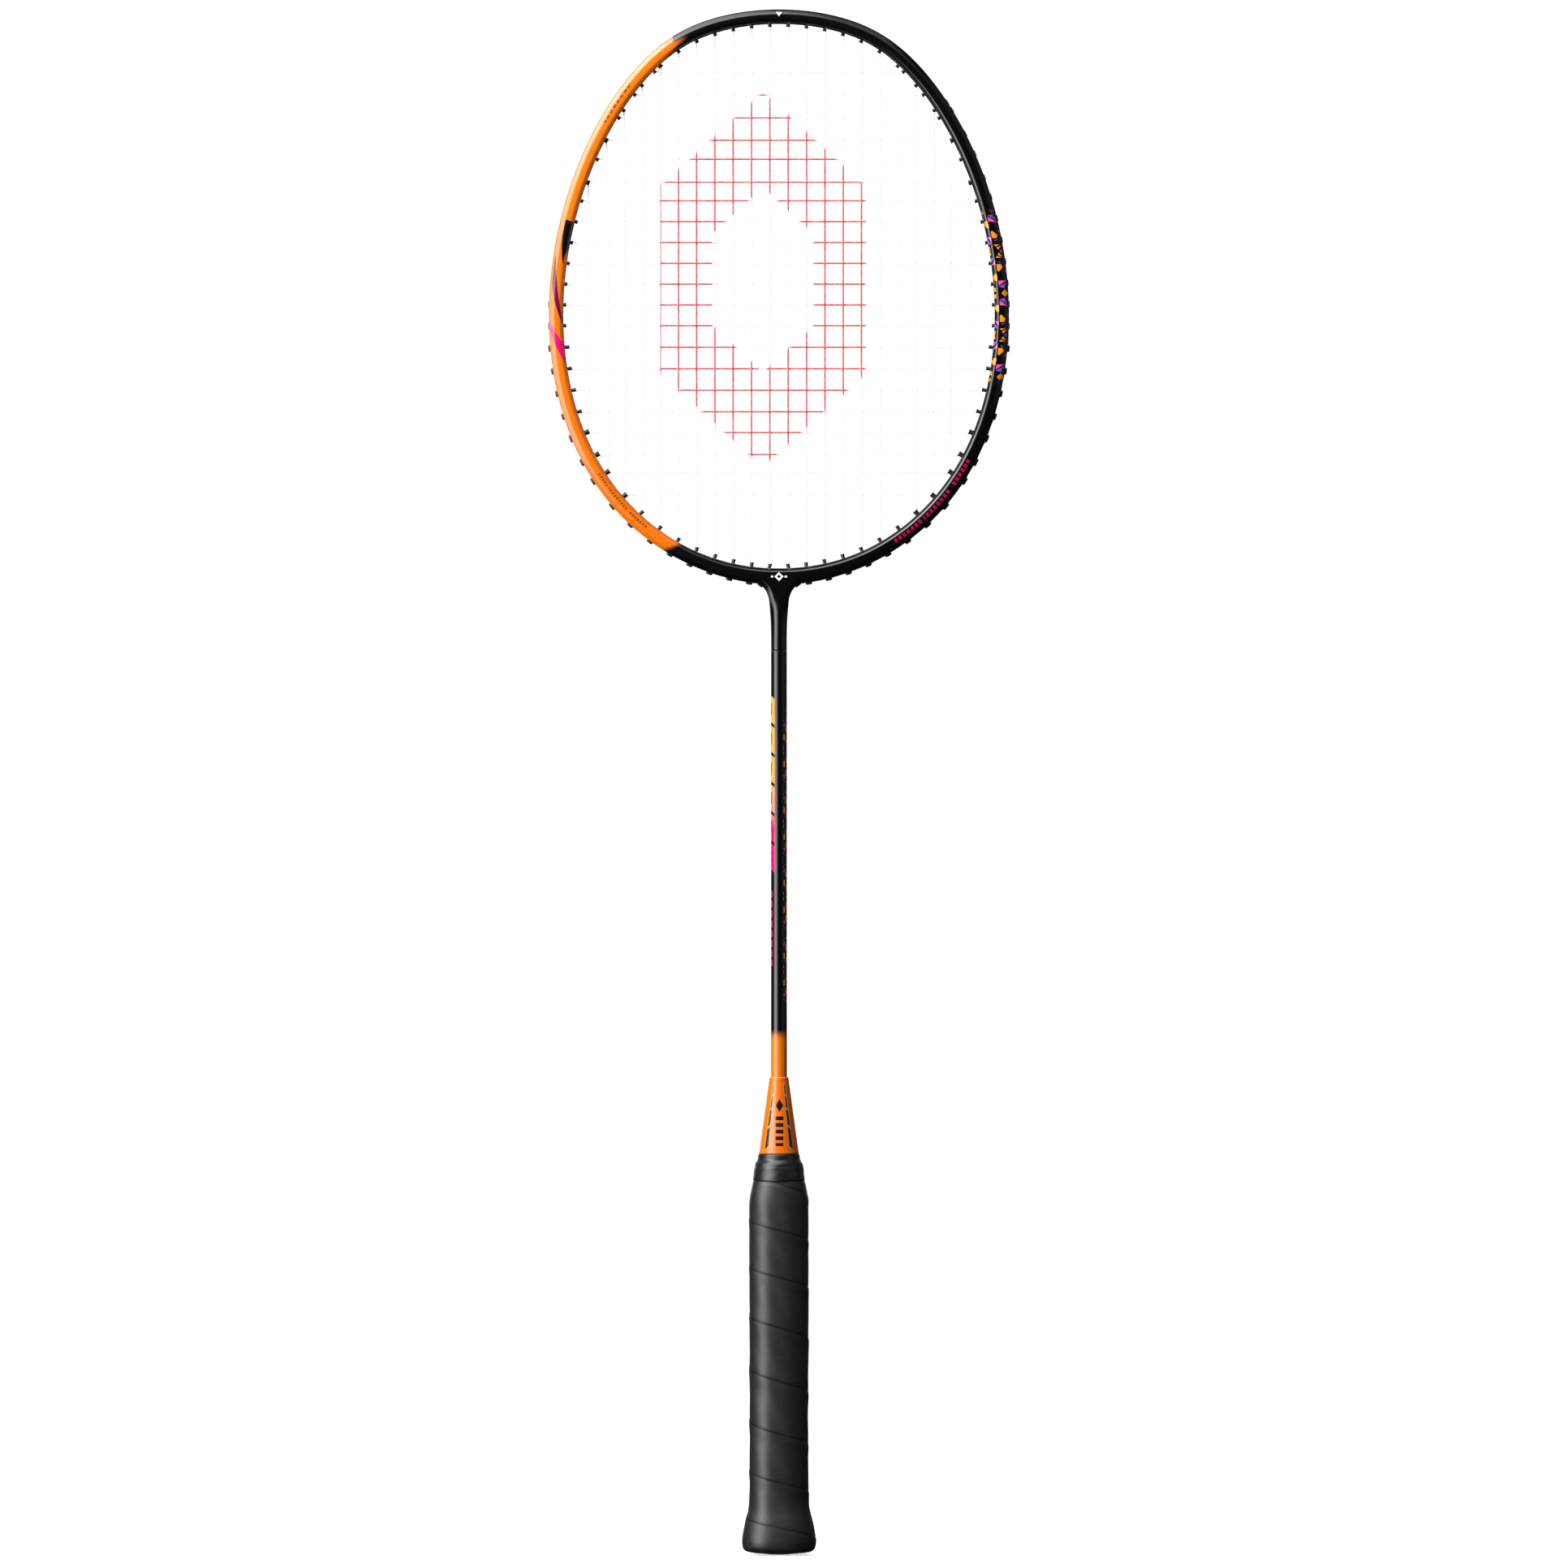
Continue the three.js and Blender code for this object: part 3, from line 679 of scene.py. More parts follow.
def shard_layer(paint, colour, along, across, shown, scale=1.0, share=1.0):
    """Lays the shards over a colour: along and across are where a point is in the motif."""
    folded = along.math("PINGPONG", SHARD_HALF * scale)
    for tint, corners in SHARDS:
        corners = [(s * scale, t * HOOP_WIDTH * share) for s, t in corners]
        mask = paint.polygon(folded, across, corners, 0.05)
        colour = paint.mix(mask * shown, colour, tint)
    return colour


def gloss_finish(paint):
    """Roughness and height of clear lacquer: orange peel, dust and faint rubbing."""
    peel = paint.noise(1.6, 2.0)
    rubbing = paint.noise(14, 4.0, (1, 1, 0.35))
    dust = paint.specks(1.9).step(0.07, 0.02)
    roughness = rubbing * 0.08 + 0.15 + dust * 0.25
    return roughness, peel * 0.7 + dust * 0.3


# ---- The frame's paint ----

SHARDS_MIDDLE = 551
SHARDS_TOP, SHARDS_LOW = 588, 511


def dashes(along, pitch, bar, word):
    """Short bars in groups of one pitch, and in longer groups of one word, where print stood."""
    group = along.math("MODULO", pitch).step(pitch * 0.66, pitch * 0.62)
    bars = along.math("MODULO", bar).step(bar * 0.24, bar * 0.34)
    words = along.math("MODULO", word).step(word * 0.94, word * 0.92)
    return group * bars * words


def swoosh(z, across, high, low, outer, inner):
    """1 between two curves that run across the hoop as z falls from high to low."""
    inside = (across - outer).step(-0.012, 0.012) * (inner - across).step(-0.012, 0.012)
    return inside * z.step(high, high - 0.2) * z.step(low - 0.2, low)


def frame_paint():
    p = Paint("frame_lacquer")
    turn, across, arc = p.read("turn"), p.read("across"), p.read("arc")
    left = p.x.step(0.4, -0.4)
    right = 1 - left

    # Orange on the left, fading to black at its ends, with a tongue in the upper fade.
    tongue = across.step(0.33, 0.45)
    upper = tongue * across.step(0.8, 0.6) * 3.2 - across.step(0.75, 1.0) * 3.5 - 46.5
    upper_blur = tongue * 3.4 - across.step(0.7, 1.0) * 1.5 + 0.4
    lower, lower_blur = across * 7.5 - 50.5, 1.4
    at_top = p.z.step(540, 560)
    edge = upper * at_top + lower * (1 - at_top)
    blur = upper_blur * at_top + (1 - at_top) * lower_blur
    orange = p.x.step(edge + blur, edge - blur)
    drift = p.noise(26, 2.0) * 0.16 + 0.92
    tint = p.mix(drift.step(0.9, 1.1), (0.56, 0.112, 0.001), ORANGE)
    colour = p.mix(orange * left, BLACK, tint)

    # The black patch on the left, and the two swooshes below it.
    fall = (583 - p.z) * (1 / 20)
    outer = fall.power(2.2) * 0.41 + 0.35
    inner = ((p.z - 565.6) * (1 / 5)).power(2.0) * 0.235 + 0.765
    slant = p.z + (across - 0.35) * 2.4
    patch = (across - outer).step(-0.012, 0.012) * (inner - across).step(-0.012, 0.012)
    patch = patch * slant.step(583.4, 583.1) * p.z.step(562.9, 563.2)
    colour = p.mix(patch * left, colour, BLACK)
    outer = ((556 - p.z) * (1 / 19.5)).power(1.5) * 0.85 + 0.14
    inner = ((567.1 - p.z) * (1 / 29)).power(1.15) * 0.78 + 0.20
    tint = p.mix(p.z.step(560, 549), PLUM, MAROON)
    colour = p.mix(swoosh(p.z, across, 567.1, 536.5, outer, inner) * left, colour, tint)
    outer = ((538 - p.z) * (1 / 19)).power(1.5)
    inner = ((546.5 - p.z) * (1 / 18.2)).power(2.2)
    tint = p.mix(p.z.step(540, 534), ROSE, MAGENTA)
    colour = p.mix(swoosh(p.z, across, 546.5, 518, outer, inner) * left, colour, tint)

    # Shards down the right side.
    shown = right * p.z.step(SHARDS_TOP, SHARDS_TOP - 5) * p.z.step(SHARDS_LOW, SHARDS_LOW + 4)
    colour = shard_layer(p, colour, p.z - SHARDS_MIDDLE, across * HOOP_WIDTH, shown)

    # Rows of plain strokes: dark on the orange side, magenta at the lower right.
    rows = [
        (left, 51.8, 60.6, 0.33, 0.49, (2.7, 0.62, 60), DARK_PRINT),
        (left, 122, 141, 0.51, 0.68, (1.5, 0.52, 14.0), DARK_PRINT),
        (right, 118, 146.5, 0.36, 0.62, (2.3, 0.78, 19.0), (0.42, 0.002, 0.075)),
    ]
    for side, start, end, near, far, lengths, print_colour in rows:
        band = across.step(near - 0.01, near + 0.01) * across.step(far + 0.01, far - 0.01)
        band = band * turn.step(start, start + 0.3) * turn.step(end, end - 0.3) * side
        colour = p.mix(band * dashes(arc, *lengths), colour, print_colour)

    # A small mark at the top, and a lozenge with a bar at each side at the throat.
    front = p.y.step(0.5, -0.5)
    top = p.polygon(p.x, p.z, [(-1.3, 673.7), (1.3, 673.7), (0.0, 671.9)], 0.06)
    lozenge = p.polygon(p.x, p.z, [(-2.0, 427.2), (0, 429.1), (2.0, 427.2), (0, 425.3)], 0.07)
    hole = p.polygon(p.x, p.z, [(-0.9, 427.2), (0, 428.1), (0.9, 427.2), (0, 426.3)], 0.07)
    beside = p.x.math("ABSOLUTE", 0.0)
    bar = p.polygon(beside, p.z, [(2.5, 427.6), (3.5, 427.6), (3.5, 426.8), (2.5, 426.8)], 0.07)
    mark = top + lozenge * (1 - hole) + bar
    colour = p.mix(mark * front, colour, WHITE)

    roughness, height = gloss_finish(p)
    return p.done(colour, roughness, height, bump=0.006)


# ---- The frame ----

# One half of the hoop's section, as lift and y, from beside the groove: the outer wall, a bevel, a
# nearly flat front with a low ridge, and a rounded inside.
BEVEL = [(0.0, 2.52), (0.0, 3.78), (-2.0, 5.06), (-3.4, 5.19)]
RIDGE = (-4.45, 5.24)
INSIDE = [(-4.65, 5.19), (-5.95, 4.7), (-6.4, 2.8)]
GROOVE_SAMPLES = (0.0, 0.7, 1.3, 1.6, 1.75, 1.9, 2.08, 2.26, 2.4)
SHALLOW_GROOVE = 0.75  # below the deep groove, where only the strings' loops lie in it
HOOP_RINGS = 400

# The neck's side, as half width and height, from the shaft up to where it meets the hoop.
NECK_SIDE = [
    (3.48, 394.8),
    (3.5, 398.5),
    (3.54, 402.6),
    (3.72, 408.0),
    (4.12, 413.3),
    (4.72, 418.0),
    (5.2, 420.0),
    (6.25, 422.0),
    (7.8, 423.25),
]
NECK_JOINS = (6.0, 8.0, 10.0)  # degrees from the bottom, where its side runs inside the hoop
NECK_RINGS = 60
NECK_ROUND, NECK_BEVELLED = 411, 421  # heights between which its section changes
NECK_FRONT = 5.05


def curve(points, shares):
    start, pull, end = (np.array(point) for point in points)
    return [(1 - t) ** 2 * start + 2 * t * (1 - t) * pull + t**2 * end for t in shares]


def half_section():
    """(lift, y) from the outer middle to the inner middle."""
    points = [np.array([0.0, y]) for y in GROOVE_SAMPLES]
    points += list(rounded_path(BEVEL, cut=0.95, steps=9))
    points += [np.array(RIDGE)]
    points += curve(INSIDE, np.linspace(0, 1, 13))
    last = np.array([INSIDE[-1][0], 0.0])
    points += [last + (points[-1] - last) * t for t in (0.66, 0.33)] + [last]
    return np.array(points)


def groove_at(turn):
    return GROOVE_DEPTH * clamp01(1 - (np.abs(turn) - GROOVE_END) / GROOVE_FADE)


def section_at(turn, half):
    lift, y = half.T
    sunk = groove_at(turn) * smooth((2.56 - y) / 0.72)
    shallow = SHALLOW_GROOVE * (1 - groove_at(turn) / GROOVE_DEPTH) * smooth((1.9 - y) / 0.6)
    sunk = (sunk + shallow) * (lift > -0.5)
    swollen = hoop_swell(turn) * smooth((-lift - 1.6) / 3.2)
    lift = lift - sunk - swollen
    return np.concatenate([lift, lift[-2:0:-1]]), np.concatenate([y, -y[-2:0:-1]])


def neck_side():
    """Points up the neck's right side, evenly spaced, and the way out of it at each."""
    points = NECK_SIDE + [hoop_point(180 - turn, -0.16) for turn in NECK_JOINS]
    x, z = np.array(points, float).T
    for _ in range(2):
        along = np.concatenate([[0], np.cumsum(np.hypot(np.diff(x), np.diff(z)))])
        even = np.linspace(0, along[-1], NECK_RINGS * 3)
        x, z = np.interp(even, along, x), np.interp(even, along, z)
        for _ in range(3):
            x[3:-3] = np.convolve(x, np.ones(7) / 7, "valid")
            z[3:-3] = np.convolve(z, np.ones(7) / 7, "valid")
    out = unit(np.stack([np.gradient(z), -np.gradient(x)], -1))
    return np.stack([x, z], -1)[::3], out[::3]


def neck_rings():
    """Rings from the shaft up into the hoop: the hoop's bevel swept up both sides of a flat."""
    corner = rounded_path(BEVEL[:3] + [(-3.4, NECK_FRONT)], cut=0.95, steps=9)[:-1]
    lift = np.concatenate([np.zeros(4), corner[:, 0]])
    y = np.concatenate([[0.0, 0.8, 1.5, 2.1], corner[:, 1]])
    rings = []
    for (w, z), out in zip(*neck_side()):
        edge_x, edge_z = w + out[0] * lift, z + out[1] * lift
        xs = np.concatenate([edge_x, edge_x[-1] * np.array([0.66, 0.33, 0.0])])
        ys = np.concatenate([y, [NECK_FRONT] * 3])
        zs = np.concatenate([edge_z, [edge_z[-1]] * 3])
        flat = smooth((z - NECK_ROUND) / (NECK_BEVELLED - NECK_ROUND))
        deep = w + (NECK_FRONT - w) * smooth((z - 395) / 29)
        a = np.arctan2(ys / NECK_FRONT, xs / w)
        xs = xs * flat + w * np.cos(a) * (1 - flat)
        ys = ys / NECK_FRONT * deep * flat + deep * np.sin(a) * (1 - flat)
        zs = zs * flat + z * (1 - flat)
        x = np.concatenate([xs, -xs[-2::-1], -xs[1:], xs[-2:0:-1]])
        y_all = np.concatenate([ys, ys[-2::-1], -ys[1:], -ys[-2:0:-1]])
        z_all = np.concatenate([zs, zs[-2::-1], zs[1:], zs[-2:0:-1]])
        rings.append(np.stack([x, y_all, z_all], -1))
    return np.concatenate(rings), len(rings)


def build_frame():
    half = half_section()
    sides = 2 * len(half) - 2
    turns = -180 + 360 / HOOP_RINGS * np.arange(HOOP_RINGS)
    grid = np.zeros((HOOP_RINGS, sides, 3))
    across = np.zeros((HOOP_RINGS, sides))
    for i, turn in enumerate(turns):
        lift, y = section_at(turn, half)
        x, z = hoop_point(turn, lift)
        grid[i] = np.stack([x, y, z], -1)
        across[i] = -lift / hoop_width(turn)
    steps = np.linalg.norm(np.diff(grid[:, 0], axis=0, append=grid[:1, 0]), axis=1)
    around = np.concatenate([[0], np.cumsum(steps)[:-1]])
    arc = np.abs(around - around[HOOP_RINGS // 2])
    shell = Shell()
    shell.add(
        grid.reshape(-1, 3),
        skin_faces(HOOP_RINGS, sides, closed=True),
        turn=np.repeat(np.abs(turns), sides),
        across=across.ravel(),
        arc=np.repeat(arc, sides),
    )
    points, rings = neck_rings()
    faces = capped_faces(rings, len(points) // rings)
    shell.add(points, faces, turn=180.0, across=-0.5, arc=arc[0])
    shell.piece("frame_shell", frame_paint(), "lacquer", "frame")


build_frame()

# ---- Grommets ----

SIDES = 28
# Half sizes of a grommet for one string and for two: bore, barrel, lip, head along the hoop and
# head across it.
SLIM = (0.46, 0.78, 0.88, 1.48, 1.45)
STOUT = (0.80, 1.06, 1.18, 1.72, 1.6)
# Rings of a head, and of an ear, from the middle out: share of its size, lift and saddle depth.
HEAD_RINGS = [
    (0.50, 0.86, 1.2),
    (0.74, 0.94, 1.28),
    (0.88, 0.88, 1.22),
    (0.96, 0.72, 1.0),
    (1.0, 0.46, 0.68),
    (1.03, 0.1, 0.32),
    (1.05, -0.5, 0.0),
]
EAR_RINGS = [
    (0.6, 0.32, 1.3),
    (0.84, 0.36, 1.3),
    (0.93, 0.28, 1.2),
    (0.98, 0.05, 1.0),
    (1.0, -0.4, 0.6),
    (1.0, -1.2, 0.0),
]
EAR_LONG, EAR_WIDE = 1.5, 1.55
EARS_FROM = {1: 56, -1: 88}  # degrees from the top, on the right and on the left


def nylon_paint():
    p = Paint("nylon_black")
    grain = p.noise(0.35, 3.0)
    cloud = p.noise(5, 2.0)
    colour = p.mix(cloud, (0.006, 0.006, 0.007), (0.014, 0.014, 0.016))
    return p.done(colour, cloud * 0.12 + 0.27, grain, bump=0.012)


def eyelet_rings(hole, flange):
    """Rings of a barrel with its flared lip and, outside, a saddled head or a low flange.

    Down the sides of the strips, the flange has two ears that stand a little out of the groove.
    """
    bore, barrel, lip, head_long, head_wide = STOUT if hole.wide else SLIM
    depth = np.array([0.0, 1.0, 0.0])
    a = np.linspace(0, 2 * np.pi, SIDES, endpoint=False)
    boxy = np.abs(np.cos(a)) ** 8 + np.abs(np.sin(a)) ** 8  # 1 for a circle, less for an oblong
    rings = []

    def ring(half_long, half_wide, lift, saddle=0.0, oblong=0.0):
        out, along = hole.axes(lift)
        swell = 1 + (boxy ** (-1 / 8) - 1) * oblong
        s, t = half_long * np.cos(a) * swell, half_wide * np.sin(a) * swell
        sunk = -saddle * np.exp(-((t / 0.8) ** 6))
        centre = hole.point(lift)
        rings.append(centre + np.outer(s, along) + np.outer(t, depth) + np.outer(sunk, out))

    if flange and hole.turn > EARS_FROM[hole.sign]:
        ring(bore, bore, -0.98)
        for share, lift, saddle in EAR_RINGS:
            ring(EAR_LONG * share, EAR_WIDE * share, lift, saddle, oblong=0.9)
    elif flange:
        ring(bore, bore, -0.98)
        ring(bore + 0.10, bore + 0.10, -0.86)
        ring(barrel + 0.22, barrel + 0.16, -0.84)
        ring(barrel + 0.32, barrel + 0.26, -0.96)
        ring(barrel + 0.32, barrel + 0.26, -1.3)
    else:
        ring(bore, bore, -0.72)
        ring(bore + 0.06, bore + 0.06, -0.46)
        for share, lift, saddle in HEAD_RINGS:
            long, wide = (max(half * share, bore + 0.1) for half in (head_long, head_wide))
            ring(long, wide, lift, saddle, oblong=0.9)
    ring(barrel, barrel, -1.9 if flange else -0.9)
    ring(barrel, barrel, -hole.lip + 0.95)
    ring(barrel + 0.03, barrel + 0.03, -hole.lip + 0.72)
    ring(lip - 0.05, lip - 0.05, -hole.lip + 0.52)
    ring(lip, lip, -hole.lip + 0.36)
    ring(lip, lip, -hole.lip + 0.16)
    ring(lip - 0.07, lip - 0.07, -hole.lip + 0.03)
    ring((lip + bore) / 2, (lip + bore) / 2, -hole.lip)
    ring(bore + 0.06, bore + 0.06, -hole.lip + 0.08)
    ring(bore, bore, -hole.lip + 0.35)
    return rings


def add_eyelet(shell, hole, flange):
    rings = eyelet_rings(hole, flange)
    shell.add(np.concatenate(rings), skin_faces(len(rings), SIDES, closed=True))


STRIP_EDGE = [  # lift and y round one half of the band
    (-0.98, 0.0),
    (-0.95, 0.8),
    (-0.98, 1.2),
    (-1.1, 1.38),
    (-1.3, 1.42),
    (-1.6, 1.4),
    (-1.68, 0.9),
    (-1.68, 0.0),
]


def build_strip(name, node, members, material):
    shell = Shell()
    turns = sorted(hole.sign * hole.turn for hole in members)
    half = np.array(STRIP_EDGE)
    section = np.concatenate([half, half[-2:0:-1] * [1, -1]])
    rings = []
    stations = np.arange(turns[0] - 0.8, turns[-1] + 0.9, 0.8)
    for turn in stations:
        near = min(abs(turn - t) for t in turns)
        waist = 1 - 0.16 * smooth((near - 0.9) / 1.2)  # narrower between the holes
        x, z = hoop_point(turn, section[:, 0])
        rings.append(np.stack([x, section[:, 1] * waist, z], -1))
    shell.add(np.concatenate(rings), capped_faces(len(rings), len(section)))
    for hole in members:
        add_eyelet(shell, hole, flange=True)
    shell.piece(name, material, "nylon", node)


def build_grommets():
    nylon = nylon_paint()
    on_strip = [hole for hole in HOLES if hole.on_strip]
    top = [hole for hole in on_strip if hole.turn <= TOP_STRIP_END]
    build_strip("bumper_top", "top_strip", top, nylon)
    for side, sign in (("left", -1), ("right", 1)):
        beside = [h for h in on_strip if h.sign == sign and h.turn > TOP_STRIP_END]
        build_strip(f"bumper_{side}", f"strip_{side}", beside, nylon)
        singles = [h for h in HOLES if h.sign == sign and not h.on_strip]
        for number, hole in enumerate(singles, 1):
            shell = Shell()
            add_eyelet(shell, hole, flange=False)
            place = f"{side}_{number:02d}"
            shell.piece(f"eyelet_{place}", nylon, "nylon", f"grommet_{place}")


build_grommets()

# ---- Strings ----

STENCIL_CENTRE = (-7.0, 557.0)
STENCIL_HALF = (46.0, 84.0)
STENCIL_HOLE = 0.46
STENCIL_RED = (0.38, 0.008, 0.018)
STRING_GLOW = 0.4


def string_paint():
    p = Paint("string_nylon")
    twist = (p.read("length") * 2.6 + p.read("around")).math("SINE", 0.0)
    cloud = p.noise(9, 3.0)
    colour = p.mix(cloud, (0.84, 0.82, 0.75), (0.90, 0.88, 0.83))
    # A plain six-sided ring, sprayed on with soft edges.
    x = (p.x - STENCIL_CENTRE[0]).math("ABSOLUTE", 0.0) * (1 / STENCIL_HALF[0])
    z = (p.z - STENCIL_CENTRE[1]).math("ABSOLUTE", 0.0) * (1 / STENCIL_HALF[1])
    reach = x.most(x * 0.5 + z)
    ink = reach.step(1.0, 0.965) * reach.step(STENCIL_HOLE, STENCIL_HOLE + 0.03)
    ink = ink * (p.noise(1.5, 2.0) * 0.3 + 0.8).least(1.0)
    colour = p.mix(ink, colour, STENCIL_RED)
    # The string gives off a little light, in place of the light that scatters through it.
    p.tree.links.new(colour, p.shader.inputs["Emission Color"])
    height = twist * 0.5 + 0.5
    return p.done(colour, cloud * 0.1 + 0.32, height, bump=0.02, emission_strength=STRING_GLOW)


def build_string(name, node, path, material):
    shell = Shell()
    path = rounded_path(path)
    sides = 8
    tube(shell, path, STRING_R, sides)
    rings = shell.count // sides
    steps = np.linalg.norm(np.diff(shell.points[0].reshape(rings, sides, 3)[:, 0], axis=0), axis=1)
    length = np.concatenate([[0], np.cumsum(steps)])
    shell.values = {
        "length": np.repeat(length, sides),
        "around": np.tile(np.sin(np.linspace(0, 2 * np.pi, sides, endpoint=False)) * 3, rings),
    }
    shell.piece(name, material, "string", node)


string_material = string_paint()
build_string("string_mains", "main_string", main_path(), string_material)
build_string("string_crosses", "cross_string", cross_path(), string_material)

# ---- Shaft ----

SHAFT_FADE = (229.5, 224.5)


def shaft_paint():
    p = Paint("shaft_lacquer")
    fade = p.z.step(*SHAFT_FADE)
    colour = p.mix(fade, BLACK, ORANGE)

    # Slanted blocks down the left side, with a slot in each, then a row of short bars.
    z = p.z + p.x * 0.9
    place = (372.2 - z).math("MODULO", 12.9)
    block = place.step(0.0, 0.3) * place.step(11.7, 11.4)
    slot = place.step(3.0, 3.3) * place.step(8.7, 8.4) * p.x.step(-3.05, -3.15)
    block = block * (1 - slot) * z.step(372.2, 372.0) * z.step(294.6, 294.8)
    block = block * p.x.step(-1.9, -2.02)
    tint = p.mix(p.z.step(341, 327), (0.72, 0.27, 0.03), SALMON)
    tint = p.mix(p.z.step(326, 317), tint, MAGENTA)
    colour = p.mix(block, colour, tint)
    place = (290 - p.z).math("MODULO", 4.3)
    bar = place.step(0.0, 0.2) * place.step(3.2, 3.0) * p.x.step(-2.75, -2.87)
    bar = bar * p.z.step(290, 289.8) * p.z.step(257, 257.3)
    colour = p.mix(bar, colour, (0.46, 0.001, 0.09))

    # Small shards down the right side.
    angle = p.y.math("ARCTAN2", p.x).math("ABSOLUTE", 0.0)
    shown = p.z.step(371, 369) * p.z.step(238, 240) * p.x.step(1.95, 2.1)
    scale = 0.87
    colour = shard_layer(p, colour, p.z - 351.2, angle * SHAFT_R + 0.2, shown, scale, 0.62)

    roughness, height = gloss_finish(p)
    return p.done(colour, roughness, height, bump=0.004)


def build_shaft():
    low, high = HANDLE_TOP - SHAFT_IN_HANDLE, NECK_BOTTOM - 0.25
    profile = [(2.35, low), (SHAFT_R - 0.1, low), (SHAFT_R, low + 0.15)]
    profile += [(SHAFT_R, z) for z in np.linspace(low + 0.5, high - 0.5, 40)]
    profile += [(SHAFT_R, high - 0.04), (SHAFT_R - 0.03, high), (2.35, high)]
    points, rings = lathe(profile, 72)
    shell = Shell()
    shell.add(points, skin_faces(rings, 72, closed=True))
    shell.piece("shaft_tube", shaft_paint(), "lacquer", "shaft")


build_shaft()

# ---- Cone ----


def cone_paint():
    p = Paint("cone_orange")
    cloud = p.noise(11, 3.0)
    colour = p.mix(cloud, (0.55, 0.105, 0.001), (0.62, 0.128, 0.0015))
    side = p.x.math("ABSOLUTE", 0.0)
    line = (203 - p.z) * 0.112 + 2.55
    half = (203 - p.z) * 0.020 + 0.24
    off = (side - line).math("ABSOLUTE", 0.0)
    slant = p.z + side * 0.9
    inked, halo = None, None
    for high, low in ((207.6, 203.4), (203.0, 198.1), (197.6, 191.2), (190.6, 182.4)):
        band = slant.step(high, high - 0.25) * slant.step(low, low + 0.25)
        glow = slant.step(high + 0.35, high + 0.1) * slant.step(low - 0.35, low - 0.1)
        inked = band if inked is None else inked.most(band)
        halo = glow if halo is None else halo.most(glow)
    ink = inked * (half - off).step(-0.07, 0.07)
    glow = halo * (half + 0.22 - off).step(-0.08, 0.08)
    colour = p.mix(glow, colour, (0.66, 0.23, 0.05))
    # Down the middle: a lozenge and five plain bars.
    lozenge = p.polygon(p.x, p.z, [(0.2, 199.0), (1.9, 196.2), (0.2, 193.4), (-1.5, 196.2)], 0.1)
    place = (191.6 - p.z).math("MODULO", 2.9)
    bars = place.step(0.0, 0.2) * place.step(1.9, 1.7) * p.z.step(191.6, 191.4)
    bars = bars * p.z.step(178.4, 178.6) * (1.75 - (p.x - 0.2).math("ABSOLUTE", 0.0)).step(-0.1, 0.1)
    front = p.y.step(0.5, -0.5)
    ink = ink.most((lozenge + bars) * front)
    colour = p.mix(ink, colour, (0.012, 0.004, 0.003))
    # Painted highlight: a paler band round the rounded top rim.
    rim = p.z.step(208.0, 208.35)
    colour = p.mix(rim * 0.5, colour, (0.75, 0.30, 0.07))
    scuff = p.noise(3, 5.0, (1, 1, 0.2))
    roughness = scuff * 0.10 + 0.16
    return p.done(colour, roughness, p.noise(2.2, 2.0) + scuff * 0.3, bump=0.012)


def build_cone():
    inner, skirt = SHAFT_R + 0.3, CONE_BOTTOM_R - 0.9
    profile = [
        (inner, HANDLE_TOP + 0.4),
        (skirt - 0.2, HANDLE_TOP + 0.4),
        (skirt, HANDLE_TOP + 0.8),
        (skirt, CONE_BOTTOM + 0.15),
        (CONE_BOTTOM_R - 0.25, CONE_BOTTOM + 0.15),
        (CONE_BOTTOM_R, CONE_BOTTOM + 0.4),
    ]
    heights = np.linspace(CONE_BOTTOM + 0.9, CONE_TOP - 0.9, 30)
    slope = (CONE_TOP_R - CONE_BOTTOM_R) / (CONE_TOP - CONE_BOTTOM)
    profile += [(CONE_BOTTOM_R + slope * (z - CONE_BOTTOM), z) for z in heights]
    profile += [
        (CONE_TOP_R + 0.06, CONE_TOP - 0.45),
        (CONE_TOP_R + 0.02, CONE_TOP - 0.22),
        (CONE_TOP_R - 0.10, CONE_TOP - 0.05),
        (CONE_TOP_R - 0.28, CONE_TOP),
        (inner, CONE_TOP - 0.05),
    ]
    points, rings = lathe(profile, 96)
    shell = Shell()
    shell.add(points, skin_faces(rings, 96, closed=True))
    shell.piece("cone_shell", cone_paint(), "cap_paint", "cone_cap")


build_cone()

# ---- Finishing tape ----


def tape_paint():
    p = Paint("tape_black")
    stretch = p.noise(2.5, 4.0, (0.25, 0.25, 2.5))
    cloud = p.noise(6, 3.0)
    colour = p.mix(cloud, (0.003, 0.0032, 0.0036), (0.0065, 0.0068, 0.0074))
    # Painted highlight: a lighter line along each raised edge of an inner turn.
    edge = p.read("edge")
    colour = p.mix(edge, colour, (0.014, 0.014, 0.0145))
    roughness = stretch * 0.14 + 0.27
    return p.done(colour, roughness, stretch * 0.7 + cloud * 0.3, bump=0.05)


TAPE_PROFILE = [  # radius and height of the tape's outside, from the top
    (8.72, 175.0),
    (8.9, 174.85),
    (9.06, 174.5),
    (9.16, 174.0),
    (9.3, 173.0),
    (9.5, 172.2),
    (9.78, 171.7),
    (10.12, 171.2),
    (10.36, 170.8),
    (10.5, 170.0),
    (10.66, 169.0),
    (10.75, 168.0),
    (10.98, 166.0),
    (11.1, 165.0),
    (11.19, 164.0),
    (11.24, 163.6),
    (11.15, 163.18),
]


